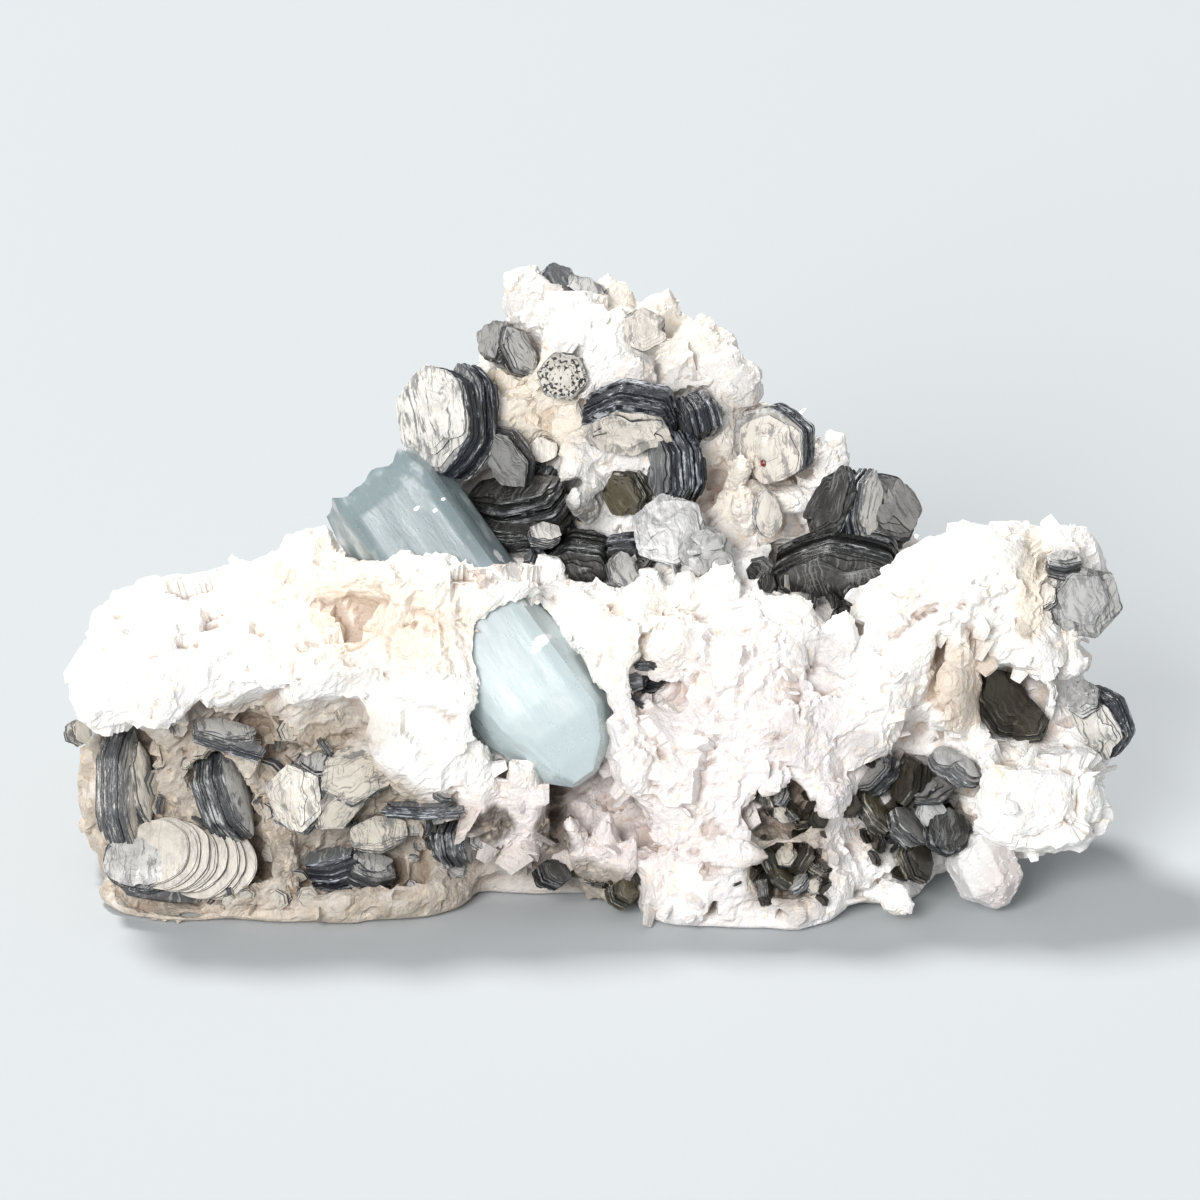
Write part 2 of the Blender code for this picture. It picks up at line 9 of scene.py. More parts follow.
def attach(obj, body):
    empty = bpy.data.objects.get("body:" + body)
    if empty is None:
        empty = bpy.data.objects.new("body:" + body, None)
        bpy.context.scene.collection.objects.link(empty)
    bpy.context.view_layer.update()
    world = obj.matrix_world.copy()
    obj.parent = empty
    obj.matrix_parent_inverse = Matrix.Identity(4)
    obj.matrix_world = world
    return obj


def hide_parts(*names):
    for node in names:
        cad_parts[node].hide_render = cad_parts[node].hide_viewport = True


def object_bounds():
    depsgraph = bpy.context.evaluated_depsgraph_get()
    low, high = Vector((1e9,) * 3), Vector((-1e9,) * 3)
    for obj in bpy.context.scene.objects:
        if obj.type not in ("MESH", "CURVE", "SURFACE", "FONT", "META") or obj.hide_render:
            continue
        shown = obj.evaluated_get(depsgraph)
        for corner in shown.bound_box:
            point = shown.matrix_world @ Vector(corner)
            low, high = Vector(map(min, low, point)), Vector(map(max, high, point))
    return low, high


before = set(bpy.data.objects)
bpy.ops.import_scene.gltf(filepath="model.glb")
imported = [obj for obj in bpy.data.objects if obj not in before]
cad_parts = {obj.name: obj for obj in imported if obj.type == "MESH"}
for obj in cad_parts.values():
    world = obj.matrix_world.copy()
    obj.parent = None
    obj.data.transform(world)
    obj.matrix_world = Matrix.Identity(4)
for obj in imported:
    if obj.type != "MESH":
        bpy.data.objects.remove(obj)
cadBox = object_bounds()
mm = 0.001

display = {
    "lean": math.radians(25),        # how far the display face leans back
    "middle": (-0.06, 38.37),        # across and back from the front of the foot, in mm
}


def facePoint(across, up, out):
    # a place on the leaning display face, from millimetres to the part's own frame
    lean = display["lean"]
    back = up * math.sin(lean) - out * math.cos(lean)
    height = up * math.cos(lean) + out * math.sin(lean)
    return Vector((across - display["middle"][0], back - display["middle"][1], height)) * mm


def faceDirection(across, up, out):
    return (facePoint(across, up, out) - facePoint(0, 0, 0)).normalized()


def halfSizes(across, up, out):
    # half sizes given on the display face, for an ellipsoid along the part's own axes
    return Vector((across, out, up))


def newObject(name, data):
    made = bpy.data.objects.new(name, data)
    bpy.context.scene.collection.objects.link(made)
    return made


def newMesh(name, bm):
    mesh = bpy.data.meshes.new(name)
    bm.to_mesh(mesh)
    bm.free()
    return mesh


def skinRows(bm, rows):
    # faces between rings of points, and one over each end
    for low, high in zip(rows, rows[1:]):
        for k in range(len(low)):
            m = (k + 1) % len(low)
            bm.faces.new((low[k], low[m], high[m], high[k]))
    bm.faces.new(list(reversed(rows[0])))
    bm.faces.new(rows[-1])
    bmesh.ops.recalc_face_normals(bm, faces=bm.faces)


def plainMesh(source):
    # the object's modifiers, worked into an ordinary mesh
    graph = bpy.context.evaluated_depsgraph_get()
    graph.update()
    made = bpy.data.meshes.new_from_object(source.evaluated_get(graph), depsgraph=graph)
    source.modifiers.clear()
    source.data = made
    print(source.name, len(made.polygons), "faces")
    return made


def place(made, slot, node=None):
    # the piece goes with the specimen and, where a node is given, takes that solid's place
    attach(made, "root")
    if node:
        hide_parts(node)
    return made


class Value:
    # what a node gives out: sums and products of values make the nodes that work them out
    def __init__(self, socket):
        self.socket = socket
        self.tree = socket.id_data

    def __add__(self, other):
        return calc("ADD", self, other)

    def __radd__(self, other):
        return calc("ADD", other, self)

    def __sub__(self, other):
        return calc("SUBTRACT", self, other)

    def __rsub__(self, other):
        return calc("SUBTRACT", other, self)

    def __mul__(self, other):
        return calc("MULTIPLY", self, other)

    def __truediv__(self, other):
        return calc("DIVIDE", self, other)

    def __rtruediv__(self, other):
        return calc("DIVIDE", other, self)


def feed(node, inputs):
    # an input takes what another node gives out, or a plain value
    for name, value in inputs.items():
        socket = node.inputs[name]
        if isinstance(value, Value):
            value.tree.links.new(value.socket, socket)
        else:
            socket.default_value = (*value, 1.0) if socket.type == "RGBA" else value


def addNode(tree, kind, inputs, **settings):
    node = tree.nodes.new(kind)
    for name, value in settings.items():
        setattr(node, name, value)
    feed(node, inputs)
    return node


def fromNode(tree, kind, inputs=None, take=0, **settings):
    # a new node, and the one value taken from it
    return Value(addNode(tree, kind, inputs or {}, **settings).outputs[take])


def treeOf(values):
    return next(value.tree for value in values if isinstance(value, Value))


def isVector(value):
    return isinstance(value, tuple) or isinstance(value, Value) and value.socket.type in ("VECTOR", "RGBA")


def calc(operation, *values):
    # a Math node or, where one of the values is a vector, a Vector Math node
    tree = treeOf(values)
    vectors = [isVector(value) for value in values]
    if not any(vectors):
        return fromNode(tree, "ShaderNodeMath", dict(enumerate(values)), operation=operation)
    if operation == "MULTIPLY" and not all(vectors):
        return fromNode(tree, "ShaderNodeVectorMath", {0: values[0], "Scale": values[1]}, operation="SCALE")
    take = "Value" if operation in ("LENGTH", "DOT_PRODUCT") else "Vector"
    values = [value if known else (value,) * 3 for value, known in zip(values, vectors)]
    return fromNode(tree, "ShaderNodeVectorMath", dict(enumerate(values)), take, operation=operation)


def split(vector):
    return [Value(part) for part in addNode(vector.tree, "ShaderNodeSeparateXYZ", {0: vector}).outputs]


def vectorOf(*parts):
    return fromNode(treeOf(parts), "ShaderNodeCombineXYZ", dict(enumerate(parts)))


def noiseAt(place, size, detail=2.0, rough=0.5, take=0):
    # noise whose lumps are about this size, in the units of the place
    return fromNode(place.tree, "ShaderNodeTexNoise", {
        "Vector": place, "Scale": 1.0 / size, "Detail": detail, "Roughness": rough}, take)


def drift(place, size, detail):
    # a direction that wanders from place to place
    return noiseAt(place, size, detail, take="Color") - 0.5


def ramp(value, low, high, lowOut=0.0, highOut=1.0):
    return fromNode(value.tree, "ShaderNodeMapRange", {
        "Value": value, "From Min": low, "From Max": high, "To Min": lowOut, "To Max": highOut},
        interpolation_type="SMOOTHSTEP")


def mixColour(share, first, second):
    # 0, 6 and 7 are the sockets that a Mix node uses for colours
    return fromNode(share.tree, "ShaderNodeMix", {0: share, 6: first, 7: second}, 2, data_type="RGBA")


def newFinish(name):
    material = bpy.data.materials.new(name)
    material.use_nodes = True
    return material, material.node_tree


def paint(tree, inputs):
    feed(tree.nodes["Principled BSDF"], inputs)


def objectPlace(tree):
    # the place on the object, in mm
    return fromNode(tree, "ShaderNodeTexCoord", take="Object") * (1.0 / mm)


def attribute(tree, name, take="Fac"):
    return fromNode(tree, "ShaderNodeAttribute", take=take, attribute_name=name)


def bump(height, distance, strength):
    return fromNode(height.tree, "ShaderNodeBump", {
        "Distance": distance * mm, "Strength": strength, "Height": height})


def newTree(name, inputs):
    # a Geometry Nodes tree with geometry in and out and these named inputs, listed by their kind
    tree = bpy.data.node_groups.new(name, "GeometryNodeTree")
    for kind, titles in {"Geometry": ("Geometry",), **inputs, "Material": ("Finish",)}.items():
        for title in titles:
            tree.interface.new_socket(title, in_out="INPUT", socket_type="NodeSocket" + kind)
    tree.interface.new_socket("Geometry", in_out="OUTPUT", socket_type="NodeSocketGeometry")
    given = addNode(tree, "NodeGroupInput", {}).outputs
    return tree, {socket.name: Value(socket) for socket in given if socket.name}


def useTree(target, tree, values):
    # adds the tree to the object, with its inputs set by their names
    modifier = target.modifiers.new(tree.name, "NODES")
    modifier.node_group = tree
    for socket in tree.interface.items_tree:
        if socket.item_type == "SOCKET" and socket.in_out == "INPUT" and socket.name in values:
            modifier[socket.identifier] = values[socket.name]


def positionIn(tree):
    return fromNode(tree, "GeometryNodeInputPosition")


def normalIn(tree):
    return fromNode(tree, "GeometryNodeInputNormal")


def moved(geometry, inputs):
    return fromNode(geometry.tree, "GeometryNodeSetPosition", {"Geometry": geometry, **inputs})


def joined(*pieces):
    node = addNode(pieces[0].tree, "GeometryNodeJoinGeometry", {})
    for piece in pieces:
        feed(node, {0: piece})
    return Value(node.outputs[0])


def finishTree(geometry, given, *others):
    # the piece is made real, kept inside the box of the solids, and given its material
    tree = geometry.tree
    real = fromNode(tree, "GeometryNodeRealizeInstances", {0: geometry})
    inside = calc("MINIMUM", calc("MAXIMUM", positionIn(tree), tuple(cadBox[0])), tuple(cadBox[1]))
    kept = moved(real, {"Position": inside})
    ending = fromNode(tree, "GeometryNodeSetMaterial", {"Geometry": kept, "Material": given["Finish"]})
    if others:
        ending = joined(ending, *others)
    addNode(tree, "NodeGroupOutput", {0: ending})


def store(geometry, name, value, domain="POINT"):
    kinds = {"VECTOR": "FLOAT_VECTOR", "RGBA": "FLOAT_COLOR"}
    return fromNode(geometry.tree, "GeometryNodeStoreNamedAttribute", {
        "Geometry": geometry, "Name": name, "Value": value},
        data_type=kinds.get(value.socket.type, "FLOAT"), domain=domain)


def blurred(value, passes):
    return fromNode(value.tree, "GeometryNodeBlurAttribute", {"Value": value, "Iterations": passes},
                    "Value", data_type="FLOAT_VECTOR")


def transformed(geometry, move=(0, 0, 0), turn=(0, 0, 0), size=(1, 1, 1)):
    return fromNode(geometry.tree, "GeometryNodeTransform", {
        "Geometry": geometry, "Translation": move, "Rotation": turn, "Scale": size})


def facesUp(tree):
    # 1 on the faces that lie flat, 0 on the edges
    steepest = 0.7
    return calc("GREATER_THAN", calc("ABSOLUTE", split(normalIn(tree))[2]), steepest)


def chance(low, high, seed, inputs=None):
    # a vector or a number by chance, between two of its kind; the node has its own sockets for each kind
    first, take, kind = (0, 0, "FLOAT_VECTOR") if isVector(low) else (2, 1, "FLOAT")
    return fromNode(seed.tree, "FunctionNodeRandomValue", {
        first: low, first + 1: high, "Seed": seed, **(inputs or {})}, take, data_type=kind)


cameraSetup = {
    "aim": (0.0, 55.83, 0.0),        # point of the display face at the middle of the picture, mm
    "distance": 2.7778,
    "lens": 500.0,
    "sensor": 36.0,
    "clip": (0.1, 20.0),
    "elevation": math.radians(25),
}


def placeCamera():
    camera = newObject("viewCamera", bpy.data.cameras.new("viewCamera"))
    camera.data.lens = cameraSetup["lens"]
    camera.data.sensor_width = cameraSetup["sensor"]
    camera.data.clip_start, camera.data.clip_end = cameraSetup["clip"]
    tilt = cameraSetup["elevation"]
    towards = Vector((0, -math.cos(tilt), math.sin(tilt)))
    camera.location = facePoint(*cameraSetup["aim"]) + towards * cameraSetup["distance"]
    camera.rotation_euler = (math.pi / 2 - tilt, 0, 0)
    bpy.context.scene.camera = camera


studio = {
    "floorSize": 8.0, "floorDrop": 0.0002,      # metres; it lies a hair below the specimen's foot
    "floorColour": (0.510, 0.536, 0.552),
    "worldColour": (0.95, 0.975, 1.0),
    "worldStrength": 0.42,
    "aim": (0, 0, 0.04),             # where the lights point
    # name: place, size in metres, watts, colour
    "lights": {
        "keyLight": ((-1.7, 2.2, 4.4), 1.15, 235.0, (1.0, 0.99, 0.97)),
        "frontLight": ((-1.9, -4.6, 2.8), 3.0, 300.0, (1.0, 0.99, 0.98)),
    },
}


def setUpStudio():
    bm = bmesh.new()
    bmesh.ops.create_grid(bm, x_segments=2, y_segments=2, size=studio["floorSize"])
    floor = newObject("floor", newMesh("floor", bm))
    floor.data.transform(Matrix.Translation((0, 0, -studio["floorDrop"])))
    material, tree = newFinish("floorPaint")
    paint(tree, {"Base Color": studio["floorColour"], "Roughness": 0.9, "Specular IOR Level": 0.1})
    floor.data.materials.append(material)

    world = bpy.data.worlds.new("softRoom")
    bpy.context.scene.world = world
    world.use_nodes = True
    feed(world.node_tree.nodes["Background"], {
        "Color": studio["worldColour"], "Strength": studio["worldStrength"]})
    for name, (spot, size, watts, colour) in studio["lights"].items():
        lamp = bpy.data.lights.new(name, "AREA")
        lamp.shape = "DISK"
        lamp.size = size
        lamp.energy = watts
        lamp.color = colour
        made = newObject(name, lamp)
        made.location = spot
        made.rotation_euler = (Vector(spot) - Vector(studio["aim"])).to_track_quat("Z", "Y").to_euler()
    bpy.context.scene.view_settings.view_transform = "Standard"


rockSkin = {
    "swellSize": 9.0, "blockSize": 12.0, "chunkSize": 5.5, "chipSize": 2.4, "pitSize": 2.6,     # mm
    "bendSize": 3.0, "bend": 2.0,               # how far its cleavage wanders, mm
    "stainBendSize": 5.0, "stainBend": 5.5,     # how far the edges of the stains wander, mm
    "pitPatches": 14.0,              # size of the parts with and without pits, mm
    "creamPatches": 9.0,             # size of the cream parts, mm
    "stainPatches": 3.5,             # size of the gaps in a stain, mm
    "surroundings": 14,              # passes that smooth the rock for a point's depth to be measured from
    "footZone": 2.5,                 # height over which the roughness fades in above the flat foot, mm
    "most": 0.9,                     # the skin stands out this much at most, mm
    "boxZone": 2.0,                  # nearer than this to a side of the box it doesn't stand out at all, mm
}

# name: size of the squares of its skin, then the inputs of its tree: heights and depth in mm, a seed,
# and the passes that take the edge off the solid's facets
rockPieces = {
    "albiteRock": (0.84 * mm, {
        "Swell Height": 1.2, "Block Height": 3.2, "Chunk Height": 1.0, "Chip Height": 0.32,
        "Pit Depth": 1.0, "Seed": 4.0, "Rounding": 3}),
    "albiteCrystals": (0.5 * mm, {
        "Swell Height": 0.6, "Block Height": 0.0, "Chunk Height": 0.7, "Chip Height": 0.3,
        "Pit Depth": 0.0, "Seed": 2.0, "Rounding": 1}),
    "quartzCrystal": (0.45 * mm, {
        "Swell Height": 0.2, "Block Height": 0.0, "Chunk Height": 0.3, "Chip Height": 0.25,
        "Pit Depth": 0.0, "Seed": 9.0, "Rounding": 0}),
}


def cleavage(place, size, seed):
    # each cell of the rock is a small flat face, tilted its own way: how far it stands out, in cell sizes
    cells = addNode(place.tree, "ShaderNodeTexVoronoi", {"Vector": place, "Scale": 1.0 / size, "W": seed},
                    voronoi_dimensions="4D", feature="F1").outputs
    offset = place * (1.0 / size) - Value(cells["Position"]) * (1.0 / size)
    return calc("DOT_PRODUCT", offset, (Value(cells["Color"]) - 0.5) * 2.0)


def nearestSide(position, low, high):
    # distance from the nearest of the box's sides but the lowest
    nearest = 1.0
    for gap in (*split(position - low)[:2], *split(high - position)):
        nearest = calc("MINIMUM", nearest, gap)
    return nearest


def zone(position, middle, half, softness):
    # 1 inside an ellipsoid round a place on the display face, 0 outside, with a soft edge
    away = (position - tuple(facePoint(*middle) / mm)) / tuple(halfSizes(*half))
    return ramp(calc("LENGTH", away), 1.0 - softness, 1.0 + softness, 1.0, 0.0)


def rockTree(name, look):
    tree, given = newTree(name, {
        "Float": ("Swell Height", "Block Height", "Chunk Height", "Chip Height", "Pit Depth", "Seed"),
        "Int": ("Rounding",), "Vector": ("Low Corner", "High Corner")})
    position, normal = positionIn(tree), normalIn(tree)
    rounded = moved(given["Geometry"], {"Position": blurred(position, given["Rounding"])})

    spot = position * (1.0 / mm)
    bent = spot + drift(spot, rockSkin["bendSize"], 2.0) * rockSkin["bend"]
    height = (noiseAt(spot, rockSkin["swellSize"], 3.0) - 0.6) * given["Swell Height"]
    for title, size in (("Block", "blockSize"), ("Chunk", "chunkSize"), ("Chip", "chipSize")):
        height += (cleavage(bent, rockSkin[size], given["Seed"]) - 0.12) * given[title + " Height"]
    pits = ramp(noiseAt(bent, rockSkin["pitSize"]), 0.56, 0.68)
    height -= pits * ramp(noiseAt(spot, rockSkin["pitPatches"]), 0.4, 0.6) * given["Pit Depth"]
    side = nearestSide(position, given["Low Corner"], given["High Corner"]) / mm
    height = calc("MINIMUM", height, ramp(side, 0.2, rockSkin["boxZone"]) * rockSkin["most"])
    height *= ramp(split(spot)[2], 0.2, rockSkin["footZone"])
    pushed = moved(rounded, {"Offset": normal * (height * mm)})

    # how deep each point lies below its surroundings, in mm, for the painted shade in the hollows
    around = blurred(position, rockSkin["surroundings"]) - position
    kept = store(pushed, "depth", calc("DOT_PRODUCT", around, normal) / mm)

    # the rock's colour, from its stains and the painted shade listed among them
    bent = spot + drift(spot, rockSkin["stainBendSize"], 4.0) * rockSkin["stainBend"]
    creamy = ramp(noiseAt(spot, rockSkin["creamPatches"], 5.0, 0.65), 0.50, 0.72, 0.0, 0.6)
    colour = mixColour(creamy, look["white"], look["cream"])
    broken = noiseAt(spot, rockSkin["stainPatches"], 5.0, 0.7)
    for middle, half, softness, stain, share in look["stains"].values():
        shown = zone(bent, middle, half, softness) * ramp(broken, 0.3, 0.55, 0.55 * share, share)
        colour = mixColour(shown, colour, stain)
    finishTree(store(kept, "stain", colour), given)
    return tree


def mergedCopy(node):
    # the solid's mesh with its corners joined, without its materials
    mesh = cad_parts[node].data.copy()
    mesh.materials.clear()
    bm = bmesh.new()
    bm.from_mesh(mesh)
    bmesh.ops.remove_doubles(bm, verts=bm.verts, dist=0.002 * mm)
    bm.to_mesh(mesh)
    bm.free()
    return mesh


def makeRockPiece(name, mesh, slot, tree, finish, node=None):
    made = newObject(name, mesh)
    skin = made.modifiers.new("skin", "REMESH")
    skin.mode = "VOXEL"
    skin.voxel_size, values = rockPieces[name]
    low, high = cadBox
    corners = {"Low Corner": Vector(low), "High Corner": Vector(high)}
    useTree(made, tree, {"Finish": finish, **corners, **values})
    plainMesh(made)
    return place(made, slot, node)


# name: root, tip (across, up, out), width, thickness, share of both left at the tip
albiteCrystals = {
    "wedgeInTheValley": ((0, 84, -11), (-6.5, 76.5, -7), 6, 4, 0.3),
    "barUnderRoundBook": ((40, 73, -12), (28.5, 72.2, -7), 4.6, 4.5, 0.8),
    "firstPetal": ((34, 74, -22), (35.8, 82.5, -16), 4, 4, 0.7),
    "secondPetal": ((38.5, 73, -18), (39.5, 83.5, -13), 6, 3.5, 0.6),
    "bladeByAquamarine": ((1.5, 43, 2), (-4.5, 59, 2), 6.5, 4, 0.15),
    "pointAboveAquamarine": ((-7, 57, -5), (-10.2, 63.6, -3.5), 6, 5, 0.3),
    "whiteBlock": ((8, 50.5, -5), (6.5, 59.3, -1), 9.5, 8, 0.85),
    "leftCreamBlock": ((4.5, 43.5, -2), (4, 51.5, 3), 6.5, 7, 0.8),
    "rightCreamBlock": ((11.5, 43.5, -1), (11.2, 51.8, 4), 8.5, 8, 0.8),
    "spike": ((17, 14.5, 2), (27.7, 13.2, 6), 5, 4.5, 0.15),
    "blockByFan": ((-52, 8, -6), (-52.8, 15.6, -2), 5, 6, 0.8),
    "leftPinkBlade": ((-19.5, 15, -6), (-21, 32, 5), 7, 6, 0.5),
    "rightPinkBlade": ((-11.5, 13, -9), (-12.8, 28, 4), 7.5, 6, 0.6),
    "firstFootBlade": ((-1, 7, -12), (-5.2, 18.5, 0), 4, 5, 0.5),
    "secondFootBlade": ((0.5, 7, -10), (1, 19.5, 1), 4.2, 5, 0.5),
    "thirdFootBlade": ((2, 6, -10), (5.6, 15.5, 0), 4, 5, 0.4),
    "topLeftBlade": ((-6, 97, -18), (-13.0, 110.6, -14), 11, 8, 0.6),
    "tanPetal": ((5.5, 99, -20), (0.5, 109.6, -18), 6.5, 4, 0.6),
    "topRightPetal": ((11.5, 96, -20), (10, 107.2, -18), 6.5, 5, 0.7),
    "lobeTip": ((14, 90, -20), (19.5, 101.0, -13), 13, 7, 0.6),
    "lowerStep": ((62, 36, -6), (56, 37.0, 3), 6.5, 5, 0.5),
    "middleStep": ((63, 41, -7), (56.8, 42.2, 2.5), 7, 5, 0.5),
    "upperStep": ((63.5, 47, -7), (58.2, 48.6, 2.5), 6, 5, 0.5),
    "greyPrism": ((32, 29, 1), (31.5, 38.8, 8), 4, 4, 0.8),
    "lumpInFront": ((-2, 92, -14), (-5.5, 106.5, -9), 12, 8, 0.7),
    "lumpBesideIt": ((3, 88, -12), (1.0, 103.0, -7.5), 11, 8, 0.7),
    "lumpBelow": ((6, 90, -12), (5.0, 96.5, -6.5), 8, 7, 0.7),
    "broadLobe": ((18, 88, -18), (24.0, 95.5, -11), 12, 7, 0.6),
    "smallOnesLeftOfCentre": ((0, 79, -12), (-4.6, 77.4, -6), 3.2, 2.2, 0.5),
    "smallBelowThem": ((1.5, 77, -12), (-2.6, 74.2, -6.2), 3.4, 2.0, 0.4),
    "lumpAboveStack": ((-1, 70, -13), (-4.4, 73.0, -5.6), 4.6, 3.6, 0.6),
    "barRightOfUpright": ((22, 74, -14), (24.0, 78.6, -7.0), 4.2, 4.5, 0.6),
    "barBelowIt": ((24, 67, -12), (24.4, 74.0, -5.8), 4.6, 4.2, 0.6),
    "leftOfTheHead": ((-48, 56, -14), (-49.2, 66.8, -10), 10.5, 6, 0.8),
    "besideIt": ((-54, 55, -14), (-55.6, 63.0, -11), 8, 6, 0.8),
    "ridgeOfMiddle": ((38, 44, -2), (41.5, 53.0, 3.5), 6.5, 4, 0.4),
    "ridgeBesideIt": ((33, 45, 0), (34.0, 55.5, 3.5), 6, 4, 0.5),
    "bladeUnderPlate": ((20, 53, -3), (20.5, 61.5, 1.5), 7, 3.5, 0.6),
    "bladeLeftOfIt": ((14.5, 53, -3), (14.0, 60.0, 1.0), 5, 3.5, 0.6),
    "rightBump": ((76, 44, -8), (80.4, 46.4, -3.5), 5, 4, 0.7),
    "nextBump": ((75, 48, -8), (79.4, 50.5, -3.0), 4.6, 4, 0.6),
    "lowerLip": ((46, 8, -4), (52.0, 4.6, -1.5), 5, 4, 0.4),
    "lipAbovePocket": ((26, 25, 3), (31.5, 27.2, 6.2), 5.5, 3.4, 0.5),
    "lipRightOfPocket": ((38, 20, 2), (37.5, 25.5, 5.4), 4.4, 3.4, 0.5),
}

crystalShape = {
    "section": ((-0.5, -0.5), (0.5, -0.5), (0.5, 0.25), (0.1, 0.5), (-0.5, 0.3)),
    # how far along, share of the size
    "levels": ((0.0, 0.85), (0.3, 0.95), (0.65, 1.0), (0.88, 0.9), (1.0, 0.8)),
    "shoulder": 0.65,                # how far along the tip starts
    "slant": 0.05,                   # how far one side of the tip runs ahead, as a share of the length
    "leans": (-1.6, 1.2, 1.8, -1.0),            # which side that is and how much, in turn
    "lumps": 2.5, "unevenness": 0.4,            # size and height of its lumps, mm
    "seed": 7,
}


def crystalMesh():
    bm = bmesh.new()
    noise.seed_set(crystalShape["seed"])
    shoulder, leans = crystalShape["shoulder"], crystalShape["leans"]
    lumps, unevenness = crystalShape["lumps"] * mm, crystalShape["unevenness"]
    for index, (root, tip, width, thickness, tipShare) in enumerate(albiteCrystals.values()):
        start, end = facePoint(*root), facePoint(*tip)
        axis = (end - start).normalized()
        side = axis.cross(faceDirection(0, 0, 1)).normalized()
        front = side.cross(axis)
        rows = []
        for share, size in crystalShape["levels"]:
            size *= 1 - (1 - tipShare) * max(0.0, share - shoulder) / (1 - shoulder)
            row = []
            for x, y in crystalShape["section"]:
                corner = side * (x * width * size) + front * (y * thickness * size)
                ahead = share * (1 + crystalShape["slant"] * (x * leans[index % len(leans)] - 2 * y))
                spot = start + (end - start) * ahead + corner * mm
                spot += noise.noise_vector(spot / lumps) * unevenness * mm
                row.append(bm.verts.new(spot))
            rows.append(row)
        skinRows(bm, rows)
    return newMesh("albiteCrystals", bm)


